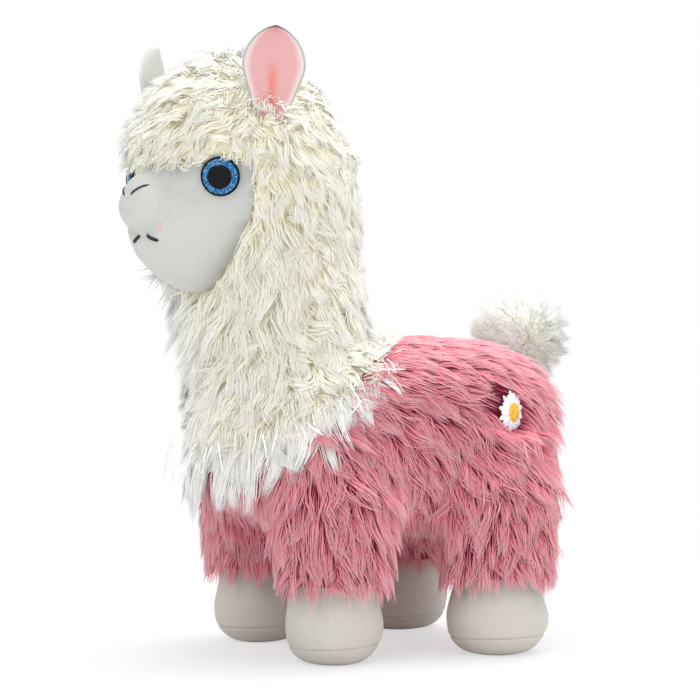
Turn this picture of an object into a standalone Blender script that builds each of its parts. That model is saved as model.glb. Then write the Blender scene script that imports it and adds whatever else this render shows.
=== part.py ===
# Plush alpaca: a stuffed toy of pile fabric, standing on four feet.
# Metres, +Z up. The animal faces -Y and its left side is +X. The origin is on the
# ground under the middle of the animal's overall box.

import math
import random

import bmesh
import bpy
import numpy as np
from mathutils import Matrix, Vector
from mathutils.bvhtree import BVHTree

# Cloth and fits
CLOTH = 0.0015             # short-pile fabric of face, feet and ears
PILE_WALL = 0.0045         # backing and dense foot of the long pile
CLEARANCE = 0.0003         # between pieces that touch
SEED = 41

# Trunk, measured to the foot of the pile
TRUNK_LENGTH = 0.172
TRUNK_WIDTH = 0.118
TRUNK_HEIGHT = 0.090
BELLY_HEIGHT = 0.061       # ground to belly
TRUNK_SQUARENESS = 2.8     # power of its cross-section
CHEST_POWER = 2.2          # how full the front end is
RUMP_POWER = 3.4
TRUNK_Y = 0.001

# Legs
FRONT_TRACK = 0.084        # between the middles of the two front feet
REAR_TRACK = 0.100
FRONT_LEG_Y = -0.043
REAR_LEG_Y = 0.042
SLEEVE_RADIUS = 0.0255     # at the hem
THIGH_RADIUS = 0.0290      # where the sleeve leaves the trunk
THIGH_INSET = 0.012        # the leg leans inwards by this much at the top
FILL_SHORT = 0.8           # how far the leg's stuffing runs up into the trunk's
HEM_HEIGHT = 0.037

# Feet
FOOT_WIDTH = 0.044
FOOT_LENGTH = 0.047
REAR_FOOT_GROWTH = 0.08    # how much larger the two rear feet are
FOOT_TOP = 0.049           # upper edge, sewn inside the sleeve
FOOT_NECK = 0.0200         # radius inside the sleeve
FOOT_FLAT = 0.0130         # radius of the flat that stands on the ground
SOLE_SEAM = 0.0075         # height of the seam round the sole

# Neck and head
NECK_RADIUS = 0.0385
NECK_TOP_Y = -0.060
NECK_BASE_Y = -0.051
NECK_BASE = 0.100          # height of the neck's lower end inside the trunk
COLLAR_HEIGHT = 0.131      # height of the collar seam on the neck's axis
COLLAR_SLOPE = 0.50        # rise of the seam towards the back
SEAM_LAP = 0.0030          # the neck cover is tucked this far under the seam
HEAD_RADIUS = 0.0520       # foot of the pile
HEAD_HEIGHT = 0.236
HEAD_Y = -0.0735
HEAD_YAW = math.radians(14)

# Face, in the head's own frame: left, forward, up
FACE_BALL = 0.0495         # short-pile face where it follows the head
FACE_EYE = (0.0, 0.012, -0.028)    # middle point that the face is measured from
MUZZLE_MIDDLE = (0.0, 0.019, -0.030)
MUZZLE_HALF = (0.0345, 0.0405, 0.0315)
CHIN_TAPER = 0.5           # how fast the panel narrows downwards
NOSE_RISE = 0.0100         # nose bump above the face's middle point
NOSE_RADIUS = 0.0135
NOSE_STAND = 0.0078
NOSE_FACET = 0.0008        # how far the panel's flat faces cut inside the nose's curve
FACE_TOP = math.radians(33)        # how far the panel reaches up from forward
FACE_SIDE = math.radians(79)
FACE_CHIN = math.radians(79)

# Eyes
EYE_DIAMETER = 0.0184
EYE_SIDE = 0.0330
EYE_HEIGHT = -0.0080
EYE_CUP = 0.0030           # thickness of the black cup
EYE_LIP = 0.0011           # width of the black rim round the iris
IRIS_THICKNESS = 0.0008
LENS_DOME = 0.0042
STEM_RADIUS = 0.0021
STEM_LENGTH = 0.0110
WASHER_RADIUS = 0.0070
WASHER_THICKNESS = 0.0012
WASHER_SETBACK = 0.0016    # behind the cloth where the face curves away

# Ears
EAR_LENGTH = 0.056         # from its sewn end, deep in the pile
EAR_WIDTH = 0.030
EAR_THICKNESS = 0.0022
EAR_SIDE = 0.0450
EAR_FORWARD = 0.017
EAR_BASE = 0.0060          # above the head's middle
EAR_CUP = 0.0050           # depth of the hollow across the ear
EAR_LINING_EDGE = 0.0028   # white rim left showing round the lining
EAR_LEAN = math.radians(5)   # outwards
EAR_TURN = math.radians(60)

# Collar
RUFF_REACH = 0.030         # length of its locks
RUFF_THICKNESS = 0.0085
RUFF_RISE = 0.016          # how far it stands up the neck
RUFF_CURL = 0.0020         # how far the tips stand off the trunk
RUFF_LOCKS = 18

# Tail
TAIL_RADIUS = 0.0200
TAIL_Y = 0.0800
TAIL_HEIGHT = 0.1515
TAIL_PITCH = 0.0102        # spacing of its tufts

# Pile: tufts on a lattice of this spacing
BODY_PITCH = 0.0153
BODY_STAND = 0.0062
BODY_HANG = 0.0105
HEAD_PITCH = 0.0148
HEAD_STAND = 0.0068
HEAD_HANG = 0.0050
TAIL_STAND = 0.0055

# Daisy
DAISY_RADIUS = 0.0105
DAISY_PETALS = 13
DAISY_THICKNESS = 0.0012
DAISY_CENTRE = 0.0052
DAISY_Y = 0.044
DAISY_HEIGHT = 0.118
DAISY_TURN = math.radians(26)

# Stitches
STITCH_RADIUS = 0.0007
NOSTRIL_LENGTH = 0.0095
NOSTRIL_RISE = 0.0125      # above the face's middle point
MOUTH_HALF = 0.0085
MOUTH_DROP = 0.0075        # below the face's middle point

HEAD_FRAME = (Matrix.Translation((0.0, HEAD_Y, HEAD_HEIGHT))
              @ Matrix.Rotation(HEAD_YAW, 4, "Z"))


# Materials

def material(name, colour, roughness, metallic=0.0, alpha=1.0):
    """A Principled material from an sRGB hex colour."""
    finish = bpy.data.materials.new(name)
    finish.use_nodes = True
    shader = finish.node_tree.nodes["Principled BSDF"]
    channels = [int(colour[i:i + 2], 16) / 255 for i in (0, 2, 4)]
    linear = [c / 12.92 if c <= 0.04045 else ((c + 0.055) / 1.055) ** 2.4 for c in channels]
    shader.inputs["Base Color"].default_value = (*linear, 1.0)
    shader.inputs["Roughness"].default_value = roughness
    shader.inputs["Metallic"].default_value = metallic
    shader.inputs["Alpha"].default_value = alpha
    finish.diffuse_color = (*linear, alpha)
    return finish


# Objects and solids

def solid(name, bm, finish=None, smooth_angle=40):
    """Put a closed bmesh into a named object, its faces split the same way each time."""
    bmesh.ops.recalc_face_normals(bm, faces=bm.faces)
    bmesh.ops.triangulate(bm, faces=bm.faces, quad_method="FIXED", ngon_method="BEAUTY")
    mesh = bpy.data.meshes.new(name)
    bm.to_mesh(mesh)
    bm.free()
    mesh.shade_smooth()
    mesh.set_sharp_from_angle(angle=math.radians(smooth_angle))
    obj = bpy.data.objects.new(name, mesh)
    bpy.context.collection.objects.link(obj)
    if finish:
        obj.data.materials.append(finish)
    return obj


def settle(obj):
    """Replace an object's mesh by what its modifiers make of it."""
    bpy.context.view_layer.update()
    graph = bpy.context.evaluated_depsgraph_get()
    mesh = bpy.data.meshes.new_from_object(obj.evaluated_get(graph))
    obj.modifiers.clear()
    obj.data = mesh
    return obj


def discard(*tools):
    for tool in tools:
        bpy.data.objects.remove(tool, do_unlink=True)


def combine(obj, tool, operation, crossing=False, keep_tool=False):
    """Cut, join or intersect an object with a tool."""
    step = obj.modifiers.new(operation.lower(), "BOOLEAN")
    step.operation = operation
    step.solver = "EXACT"
    step.use_self = crossing
    step.object = tool
    settle(obj)
    if not keep_tool:
        discard(tool)
    return obj


def finished(obj, finish):
    """Give an object its one material after the cuts."""
    obj.data.materials.clear()
    obj.data.materials.append(finish)
    return obj


def largest_body(obj):
    """Drop the crumbs that a cut leaves and keep the one large body."""
    bm = bmesh.new()
    bm.from_mesh(obj.data)
    left = set(bm.verts)
    groups = []
    while left:
        group = {left.pop()}
        front = list(group)
        while front:
            vert = front.pop()
            near = [e.other_vert(vert) for e in vert.link_edges]
            fresh = [v for v in near if v in left]
            left.difference_update(fresh)
            group.update(fresh)
            front.extend(fresh)
        groups.append(group)
    keep = max(groups, key=len)
    crumbs = [v for group in groups if group is not keep for v in group]
    bmesh.ops.delete(bm, geom=crumbs, context="VERTS")
    bm.to_mesh(obj.data)
    bm.free()
    return obj


def rings_to_solid(rings):
    """A closed body from a stack of rings of equal length, its ends filled."""
    bm = bmesh.new()
    loops = [[bm.verts.new(point) for point in ring] for ring in rings]
    count = len(loops[0])
    for lower, upper in zip(loops, loops[1:]):
        for i in range(count):
            k = (i + 1) % count
            bm.faces.new((lower[i], lower[k], upper[k], upper[i]))
    bm.faces.new(list(reversed(loops[0])))
    bm.faces.new(loops[-1])
    return bm


def tube(stations, segments):
    """Horizontal ellipses joined upwards; a station is a middle point and two radii."""
    rings = []
    for (x, y, z), across, along in stations:
        turns = [2 * math.pi * i / segments for i in range(segments)]
        rings.append([(x + across * math.cos(t), y + along * math.sin(t), z) for t in turns])
    return rings_to_solid(rings)


def superellipsoid(middle, half, power, rows, segments, frame=None, ends=None):
    """|x/a|^p + |z/c|^p + |y/b|^q = 1 as a ball of rows and segments, poles along Y.

    ends gives q for the front and for the rear; each vertex slides along its own ray
    until the sum is 1, found by halving."""
    front, rear = ends if ends else (power, power)
    bm = bmesh.new()
    bmesh.ops.create_uvsphere(bm, u_segments=segments, v_segments=rows, radius=1.0)
    bmesh.ops.rotate(bm, verts=bm.verts, matrix=Matrix.Rotation(math.pi / 2, 3, "X"))
    for vert in bm.verts:
        ray = vert.co.normalized()
        powers = (power, front if ray.y < 0 else rear, power)
        low, high = 0.0, 2 * max(half)
        for _ in range(40):
            reach = 0.5 * (low + high)
            total = sum(abs(reach * ray[i] / half[i]) ** powers[i] for i in range(3))
            low, high = (reach, high) if total < 1 else (low, reach)
        vert.co = ray * low + Vector(middle)
    if frame:
        bm.transform(frame)
    return bm


# Forms that the covers and the stuffing share, at any depth below the surface

LEGS = (
    ("front_left", 0.5 * FRONT_TRACK, FRONT_LEG_Y),
    ("front_right", -0.5 * FRONT_TRACK, FRONT_LEG_Y),
    ("rear_left", 0.5 * REAR_TRACK, REAR_LEG_Y),
    ("rear_right", -0.5 * REAR_TRACK, REAR_LEG_Y),
)
TRUNK_MIDDLE = (0.0, TRUNK_Y, BELLY_HEIGHT + 0.5 * TRUNK_HEIGHT)
LEG_SIDES = 10
NECK_SIDES = 16
FACE_SIDES = 20


def trunk_form(depth, rows=12, segments=20):
    half = (0.5 * TRUNK_WIDTH - depth, 0.5 * TRUNK_LENGTH - depth, 0.5 * TRUNK_HEIGHT - depth)
    ends = (CHEST_POWER, RUMP_POWER)
    return superellipsoid(TRUNK_MIDDLE, half, TRUNK_SQUARENESS, rows, segments, None, ends)


def thigh_stations(x, y):
    """Middles and radii of the upper leg, which leans inwards into the trunk."""
    top = TRUNK_MIDDLE[2]
    inner = x - math.copysign(THIGH_INSET, x)
    root = 0.5 * (top + BELLY_HEIGHT)
    return [((0.5 * (x + inner), y, root), THIGH_RADIUS),
            ((inner, y, top), 0.8 * THIGH_RADIUS)]


def sleeve_form(x, y, depth, bottom, segments=16):
    """A leg sleeve from the middle of the trunk down to a level."""
    stations = [((x, y, bottom), SLEEVE_RADIUS), ((x, y, FOOT_TOP), SLEEVE_RADIUS)]
    stations += thigh_stations(x, y)
    return tube([(place, r - depth, r - depth) for place, r in stations], segments)


def foot_profile(depth):
    """Height and radius pairs of the foot, from the ground up."""
    belly = 0.5 * FOOT_WIDTH
    shoulder = 0.30 * FOOT_TOP
    pairs = [(0.0, FOOT_FLAT), (0.07 * shoulder, 0.5 * (FOOT_FLAT + belly)),
             (0.42 * shoulder, 0.95 * belly), (shoulder, belly), (0.55 * FOOT_TOP, 0.975 * belly),
             (HEM_HEIGHT - 2 * CLOTH, FOOT_NECK), (FOOT_TOP, FOOT_NECK)]
    return [(max(z, depth), radius - depth) for z, radius in pairs]


def foot_rings(x, y, pairs, segments=LEG_SIDES):
    """The foot is a little longer than wide below the sleeve."""
    stretch = FOOT_LENGTH / FOOT_WIDTH
    rings = []
    for z, radius in pairs:
        share = min(1.0, 2 * max(0.0, (HEM_HEIGHT - z) / HEM_HEIGHT))
        if y > 0:
            radius *= 1 + REAR_FOOT_GROWTH * share
        along = radius * (1 + (stretch - 1) * share)
        turns = [2 * math.pi * i / segments for i in range(segments)]
        rings.append([(x + radius * math.cos(t), y + along * math.sin(t), z) for t in turns])
    return rings


def neck_form(depth, bottom, top, segments=20):
    """The neck's tube: upright inside the collar, then leaning forward to the head."""
    straight = COLLAR_HEIGHT + 1.6 * RUFF_RISE
    radius = NECK_RADIUS - depth
    places = ((NECK_BASE_Y, bottom), (NECK_BASE_Y, straight), (NECK_TOP_Y, top))
    return tube([((0.0, y, z), radius, radius) for y, z in places], segments)


def head_form(depth, rows=12, segments=20):
    half = [HEAD_RADIUS - depth] * 3
    return superellipsoid((0.0, 0.0, 0.0), half, 2.0, rows, segments, HEAD_FRAME)


def collar_level(y):
    """Height of the collar seam at a point along the body."""
    return COLLAR_HEIGHT + COLLAR_SLOPE * (y - NECK_BASE_Y)


def fused(name, parts, pitch, turn):
    """One skin of even quads round overlapping bodies, its lattice turned about an axis."""
    bm = bmesh.new()
    for part in parts:
        piece = bpy.data.meshes.new("piece")
        part.to_mesh(piece)
        part.free()
        bm.from_mesh(piece)
        bpy.data.meshes.remove(piece)
    bm.transform(turn)
    body = solid(name, bm)
    step = body.modifiers.new("fuse", "REMESH")
    step.mode = "VOXEL"
    step.voxel_size = pitch
    step.adaptivity = 0.0
    settle(body)
    body.data.transform(turn.inverted())
    return largest_body(body)


def tufted(body, stand, lay, is_bare, seed):
    """Raise the middle of each quad into a tuft that hangs the way the pile lies."""
    dice = random.Random(seed)
    bm = bmesh.new()
    bm.from_mesh(body.data)
    bmesh.ops.recalc_face_normals(bm, faces=bm.faces)
    faces = [f for f in bm.faces if not is_bare(f.calc_center_median(), f.normal)]
    tips = bmesh.ops.poke(bm, faces=faces)["verts"]
    bm.normal_update()
    places = [(tip, tip.co.copy(), tip.normal.copy()) for tip in tips]
    for tip, place, normal in places:
        comb = lay(place, normal, dice)
        comb -= normal * comb.dot(normal)
        tip.co = place + normal * stand * dice.uniform(0.7, 1.2) + comb
    bmesh.ops.triangulate(bm, faces=bm.faces, quad_method="FIXED")
    bm.to_mesh(body.data)
    bm.free()
    return body


def swollen(body, name, gap):
    """A copy with every point moved out along its normal, to cut seats with."""
    bm = bmesh.new()
    bm.from_mesh(body.data)
    bmesh.ops.recalc_face_normals(bm, faces=bm.faces)
    bmesh.ops.triangulate(bm, faces=bm.faces, quad_method="FIXED")
    bm.normal_update()
    moves = [(v, v.normal * gap * min(2.0, max(1.0, v.calc_shell_factor()))) for v in bm.verts]
    for vert, move in moves:
        vert.co += move
    return solid(name, bm)


# The pink cover

def near_neck(place, margin):
    """True where the collar's band covers a point of the trunk."""
    offset = math.hypot(place.x, place.y - NECK_BASE_Y)
    above = place.z > collar_level(place.y) - 1.1 * RUFF_REACH
    return above and offset < NECK_RADIUS + margin


def daisy_place():
    """The daisy's middle, on the trunk's side, and the way it faces."""
    facing = Vector((math.cos(DAISY_TURN), math.sin(DAISY_TURN), 0.0))
    return Vector((0.5 * TRUNK_WIDTH, DAISY_Y, DAISY_HEIGHT)), facing


def body_skin():
    """Trunk and sleeves with their hanging tufts."""
    sleeves = [sleeve_form(x, y, 0.0, HEM_HEIGHT) for _, x, y in LEGS]
    turn = Matrix.Rotation(math.radians(45), 4, "X") @ Matrix.Rotation(math.radians(20), 4, "Z")
    skin = fused("body_skin", [trunk_form(0.0)] + sleeves, BODY_PITCH, turn)
    bare = swollen(skin, "body_seat", CLEARANCE)
    tail = Vector((0.0, TAIL_Y, TAIL_HEIGHT))
    daisy = daisy_place()[0]

    def is_bare(place, normal):
        hem = normal.z < -0.2 and place.z < HEM_HEIGHT + 0.8 * BODY_PITCH
        sewn = near_neck(place, 1.4 * RUFF_REACH)
        tail_seat = (place - tail).length < TAIL_RADIUS + 0.5 * BODY_PITCH
        rise = place.z - daisy.z - 0.5 * BODY_HANG
        apart = math.hypot(place.y - daisy.y, rise)
        patch = place.x > 0 and apart < DAISY_RADIUS + 0.5 * (BODY_PITCH + BODY_HANG)
        return hem or sewn or tail_seat or patch

    def lay(place, normal, dice):
        down = Vector((dice.uniform(-0.35, 0.35), 0.55 * abs(normal.z), -1.0))
        down.y += dice.uniform(-0.35, 0.35)
        if place.z < BELLY_HEIGHT and normal.z < -0.5:
            down *= 0.3
        return down * BODY_HANG * dice.uniform(0.7, 1.1)

    return tufted(skin, BODY_STAND, lay, is_bare, SEED), bare


def body_cover(skin, finish):
    """The skin hollowed for the stuffing, open at the neck and at the four hems."""
    cover = skin.copy()
    cover.data = skin.data.copy()
    cover.name = "body_cover"
    bpy.context.collection.objects.link(cover)
    combine(cover, solid("hollow", trunk_form(PILE_WALL, 8, 12)), "DIFFERENCE", crossing=True)
    for _, x, y in LEGS:
        bore = sleeve_form(x, y, PILE_WALL, HEM_HEIGHT - PILE_WALL, LEG_SIDES)
        combine(cover, solid("bore", bore), "DIFFERENCE")
    corner = (NECK_RADIUS + CLEARANCE) / math.cos(math.pi / NECK_SIDES)
    mouth = neck_form(NECK_RADIUS - corner, NECK_BASE, HEAD_HEIGHT, NECK_SIDES)
    combine(cover, solid("mouth", mouth), "DIFFERENCE")
    return finished(largest_body(cover), finish)


# Head and neck

def below_collar(drop):
    """A block under the slanting collar seam, lowered by a distance."""
    wide = 3 * NECK_RADIUS
    level = []
    for height in (0.0, 1.0):
        ring = []
        for dx, dy in ((-wide, -wide), (wide, -wide), (wide, wide), (-wide, wide)):
            y = NECK_BASE_Y + dy
            top = collar_level(y) - drop
            ring.append((dx, y, top if height else top - 4 * NECK_RADIUS))
        level.append(ring)
    return solid("below_collar", rings_to_solid(level))


def face_reach(rays):
    """Distance from the face's middle point to its surface along unit rays (N, 3).

    The head's ball and the muzzle's ellipsoid are blended by a high power mean, and the
    nose is a flat-topped bump on top of that."""
    start = np.array(FACE_EYE)

    def exit_distance(middle, half):
        a = rays / half
        b = (start - np.array(middle)) / half
        aa = (a * a).sum(1)
        ab = (a * b).sum(1)
        bb = (b * b).sum() - 1.0
        return (-ab + np.sqrt(np.maximum(ab * ab - aa * bb, 1e-12))) / aa

    ball = exit_distance((0.0, 0.0, 0.0), np.array([FACE_BALL] * 3))
    muzzle = exit_distance(MUZZLE_MIDDLE, np.array(MUZZLE_HALF))
    reach = (ball ** 14 + muzzle ** 14) ** (1 / 14)
    front = MUZZLE_MIDDLE[1] + MUZZLE_HALF[1] - FACE_EYE[1]
    nose = np.array([0.0, front, NOSE_RISE])
    nose /= np.linalg.norm(nose)
    off = np.arccos(np.clip(rays @ nose, -1, 1)) * front / NOSE_RADIUS
    return reach + NOSE_STAND * np.exp(-off ** 4)


def face_rays(polar, around):
    """Unit rays: polar angle from straight ahead, around from the left side upwards."""
    side = np.sin(polar)
    return np.stack([side * np.cos(around), np.cos(polar), side * np.sin(around)], -1)


def pinched(rays):
    """Rays drawn in sideways the more they point down, so that the chin tapers."""
    narrow = rays.copy()
    narrow[..., 0] *= 1 - CHIN_TAPER * np.clip(-rays[..., 2], 0, 1)
    return narrow


def face_edge(around):
    """Polar angle of the panel's outline: level over the brow, an oval at cheeks and chin."""
    up = np.sin(around)
    oval = 1 / np.sqrt((np.cos(around) / FACE_SIDE) ** 2 + (up / FACE_CHIN) ** 2)
    brow = np.arcsin(np.clip(math.sin(FACE_TOP) / np.maximum(up, 0.01), 0, 1))
    return (oval ** -8 + brow ** -8) ** (-1 / 8)


def head_point(left, forward, up):
    """A place given in the head's frame, in the world."""
    return HEAD_FRAME @ Vector((left, -forward, up))


def face_point(ray, lift):
    """World place on the face along a ray, raised by lift."""
    ray = np.array(ray, dtype=float)
    ray /= np.linalg.norm(ray)
    reach = float(face_reach(ray[None])[0]) + lift
    spot = np.array(FACE_EYE) + pinched(ray) * reach
    return head_point(*spot)


def face_layer(lift, rows, segments, widen=0.0):
    """Rings of the face's surface from its middle out to its outline."""
    around = np.linspace(0, 2 * math.pi, segments, endpoint=False)
    rings = []
    for row in range(1, rows + 1):
        share = (row / rows) ** 1.3
        polar = (face_edge(around) + widen) * share
        rays = face_rays(polar, around)
        spots = np.array(FACE_EYE) + pinched(rays) * (face_reach(rays) + lift)[:, None]
        rings.append([head_point(*spot) for spot in spots])
    return rings


def face_panel(finish):
    """The face as a shell of cloth, its rim square to its surface."""
    outer = face_layer(0.0, 7, FACE_SIDES)
    inner = face_layer(-CLOTH, 7, FACE_SIDES)
    panel = solid("face_panel", rings_to_solid(outer + inner[::-1]), finish)
    for side in (1, -1):
        combine(panel, cylinder(eye_frame(side), STEM_RADIUS + CLEARANCE, -0.01, 0.01, 12),
                "DIFFERENCE")
    return finished(panel, finish)


def face_mouth():
    """The cone of rays that the panel fills, to open the head cover with."""
    around = np.linspace(0, 2 * math.pi, FACE_SIDES, endpoint=False)
    gap = CLEARANCE / FACE_BALL
    rays = pinched(face_rays(face_edge(around) + gap, around))
    far = np.array(FACE_EYE) + rays * 0.09
    near = np.array(FACE_EYE) + rays * 0.012
    apex_rings = [[head_point(*p) for p in near], [head_point(*p) for p in far]]
    tip = np.array(FACE_EYE) + np.array([0.0, 0.13, -0.02])
    apex_rings.append([head_point(*(tip + (p - tip) * 0.25)) for p in far])
    return rings_to_solid(apex_rings)


def cylinder(frame, radius, bottom, top, segments, top_radius=None):
    """A round bar along a frame's Z axis."""
    wide = radius if top_radius is None else top_radius
    turns = [2 * math.pi * i / segments for i in range(segments)]
    rings = [[frame @ Vector((r * math.cos(t), r * math.sin(t), z)) for t in turns]
             for r, z in ((radius, bottom), (wide, top))]
    return solid("bar", rings_to_solid(rings))


def eye_frame(side):
    """A frame on the face under one eye, its Z axis pointing out of the head."""
    forward = math.sqrt(FACE_BALL ** 2 - EYE_SIDE ** 2 - EYE_HEIGHT ** 2)
    aim = np.array([side * EYE_SIDE, forward, EYE_HEIGHT]) - np.array(FACE_EYE)
    place = face_point(aim, 0.0)
    out = (HEAD_FRAME.to_3x3() @ Vector((side * EYE_SIDE, -forward, EYE_HEIGHT))).normalized()
    across = Vector((0.0, 0.0, 1.0)).cross(out).normalized()
    up = out.cross(across)
    turn = Matrix((across, up, out)).transposed().to_4x4()
    return Matrix.Translation(place) @ turn


def face_span(frame, radius):
    """Lowest and highest level of the face, in an eye's frame, within a radius."""
    back = HEAD_FRAME.inverted()
    levels = []
    for reach in (0.5 * radius, radius):
        for t in spread(12):
            spot = back @ (frame @ Vector((reach * math.cos(t), reach * math.sin(t), 0.0)))
            aim = np.array((spot.x, -spot.y, spot.z)) - np.array(FACE_EYE)
            levels.append((frame.inverted() @ face_point(aim, 0.0)).z)
    return min(levels), max(levels)


def ear_root(side):
    """The middle of an ear's sewn end on the head."""
    return head_point(side * EAR_SIDE, EAR_FORWARD, EAR_BASE)


def head_skin():
    """Head and neck with their curled tufts."""
    turn = Matrix.Rotation(math.radians(45), 4, "X") @ Matrix.Rotation(math.radians(33), 4, "Z")
    parts = [head_form(0.0), neck_form(0.0, NECK_BASE, HEAD_HEIGHT)]
    skin = fused("head_skin", parts, HEAD_PITCH, turn)
    bare = swollen(skin, "head_seat", CLEARANCE)
    middle = Vector((0.0, HEAD_Y, HEAD_HEIGHT))

    def is_bare(place, normal):
        sewn = place.z < collar_level(place.y) + RUFF_RISE + HEAD_HANG + 0.5 * HEAD_PITCH
        apart = min((place - ear_root(side)).xy.length for side in (1, -1))
        ear = place.z > HEAD_HEIGHT and apart < 0.5 * EAR_WIDTH + 0.6 * HEAD_PITCH
        return sewn or ear

    def lay(place, normal, dice):
        curl = Vector([dice.uniform(-1, 1) for _ in range(3)])
        if place.z > middle.z + 0.5 * HEAD_RADIUS:
            curl.y -= 0.8
        else:
            curl.z -= 0.8
        return curl * HEAD_HANG

    return tufted(skin, HEAD_STAND, lay, is_bare, SEED + 1), bare


def head_neck_cover(skin, finish):
    """The skin hollowed for the stuffing, open at the neck's foot and at the face."""
    cover = skin.copy()
    cover.data = skin.data.copy()
    cover.name = "head_neck_cover"
    bpy.context.collection.objects.link(cover)
    ball = head_form(HEAD_RADIUS - FACE_BALL + CLOTH, 8, 14)
    combine(cover, solid("hollow", ball), "DIFFERENCE", crossing=True)
    throat = neck_form(PILE_WALL, NECK_BASE - PILE_WALL, HEAD_HEIGHT, NECK_SIDES)
    combine(cover, solid("throat", throat), "DIFFERENCE")
    combine(cover, below_collar(SEAM_LAP), "DIFFERENCE")
    combine(cover, solid("face_mouth", face_mouth()), "DIFFERENCE")
    for side in (1, -1):
        pocket = cylinder(eye_frame(side), 0.5 * EYE_DIAMETER + 2 * CLEARANCE, -STEM_LENGTH,
                          2 * STEM_LENGTH, 16)
        combine(cover, pocket, "DIFFERENCE")
    return finished(largest_body(cover), finish)


# Collar

def leave_neck(start, ray, radius):
    """How far along a ray the upright neck of a radius is left behind."""
    x, y = start.x, start.y - NECK_BASE_Y
    a = ray.x ** 2 + ray.y ** 2
    b = x * ray.x + y * ray.y
    c = x ** 2 + y ** 2 - radius ** 2
    return (-b + math.sqrt(max(0.0, b * b - a * c))) / max(a, 1e-9)


def neck_ruff(body_seat, finish):
    """A collar draped over the trunk, its edge cut into pointed locks.

    Rays from a point inside the chest find the trunk's surface, or the neck's where that
    stands further out; each lock is a wedge laid there, thick at the neck, thin at its tip."""
    dice = random.Random(SEED + 2)
    tree = BVHTree.FromPolygons([v.co for v in body_seat.data.vertices],
                                [p.vertices for p in body_seat.data.polygons])
    axis = Vector((0.0, -COLLAR_SLOPE, 1.0)).normalized()
    inside = Vector((0.0, NECK_BASE_Y, COLLAR_HEIGHT)) - axis * 1.4 * RUFF_REACH
    lift = 3 * CLEARANCE
    steps = 4
    rings = []
    for i, turn in enumerate(spread(2 * RUFF_LOCKS)):
        out = Vector((math.sin(turn), -math.cos(turn), 0.0))
        foot = Vector((0.0, NECK_BASE_Y, 0.0)) + out * (NECK_RADIUS + 2 * lift)
        below = tree.ray_cast(Vector((foot.x, foot.y, HEAD_HEIGHT)), Vector((0, 0, -1)))[0]
        foot.z = max(collar_level(foot.y), below.z if below else 0.0)
        reach = RUFF_REACH * (dice.uniform(0.85, 1.15) if i % 2 else dice.uniform(0.42, 0.55))
        slant = (out + Vector((0.0, 0.0, COLLAR_SLOPE * out.y)) - 0.8 * axis).normalized()
        under = []
        over = []
        for k in range(steps + 1):
            share = k / steps
            ray = (foot + slant * reach * share - inside).normalized()
            far = leave_neck(inside, ray, NECK_RADIUS + 2 * lift)
            hit = tree.ray_cast(inside + ray * HEAD_HEIGHT, -ray)[0]
            rest = (hit - inside).length + lift + RUFF_CURL * share if hit else 0.0
            if inside.z + ray.z * far > NECK_BASE - lift or not hit:
                rest = max(rest, far)
            thick = RUFF_THICKNESS * (1 - 0.86 * share)
            under.append(inside + ray * rest)
            over.append(inside + ray * (rest + thick))
        collar = foot.copy()
        collar.z += RUFF_RISE
        shoulder = collar + out * 0.5 * RUFF_THICKNESS
        rings.append(under + over[::-1] + [shoulder, collar])
    bm = bmesh.new()
    loops = [[bm.verts.new(p) for p in ring] for ring in rings]
    size = len(loops[0])
    for here, there in zip(loops, loops[1:] + loops[:1]):
        for j in range(size):
            k = (j + 1) % size
            bm.faces.new((here[j], here[k], there[k], there[j]))
    solid("neck_ruff", bm, finish)


# Feet and soles

def foot_and_sole(name, x, y, cover, tread):
    """A cup of short-pile cloth sewn into the sleeve, and the disc sewn under it."""
    outer = foot_profile(0.0)
    inner = foot_profile(CLOTH)
    radius_at = [p for p in outer if p[0] < SOLE_SEAM]
    low, high = radius_at[-1], outer[len(radius_at)]
    share = (SOLE_SEAM - low[0]) / (high[0] - low[0])
    seam = low[1] + share * (high[1] - low[1])
    gap = 0.5 * CLEARANCE
    upper = [(SOLE_SEAM + gap, seam)] + [p for p in outer if p[0] > SOLE_SEAM]
    lining = [(SOLE_SEAM + gap, seam - CLOTH)] + [p for p in inner if p[0] > SOLE_SEAM]
    cup = ring_shell(foot_rings(x, y, upper), foot_rings(x, y, lining))
    solid(name + "_foot", cup, cover)
    under = radius_at + [(SOLE_SEAM - gap, seam)]
    bed = [p for p in inner if p[0] < SOLE_SEAM] + [(SOLE_SEAM - gap, seam - CLOTH)]
    bed = [p for i, p in enumerate(bed) if i == 0 or p[0] > bed[i - 1][0]]
    disc = rings_to_solid(foot_rings(x, y, under) + foot_rings(x, y, bed)[::-1])
    solid(name + "_sole", disc, tread)


def ring_shell(outer, inner):
    """A wall between two stacks of rings, open at both ends."""
    bm = bmesh.new()
    path = outer + inner[::-1]
    loops = [[bm.verts.new(point) for point in ring] for ring in path]
    count = len(loops[0])
    for lower, upper in zip(loops, loops[1:] + loops[:1]):
        for i in range(count):
            k = (i + 1) % count
            bm.faces.new((lower[i], lower[k], upper[k], upper[i]))
    return bm


# Stuffing

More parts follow.
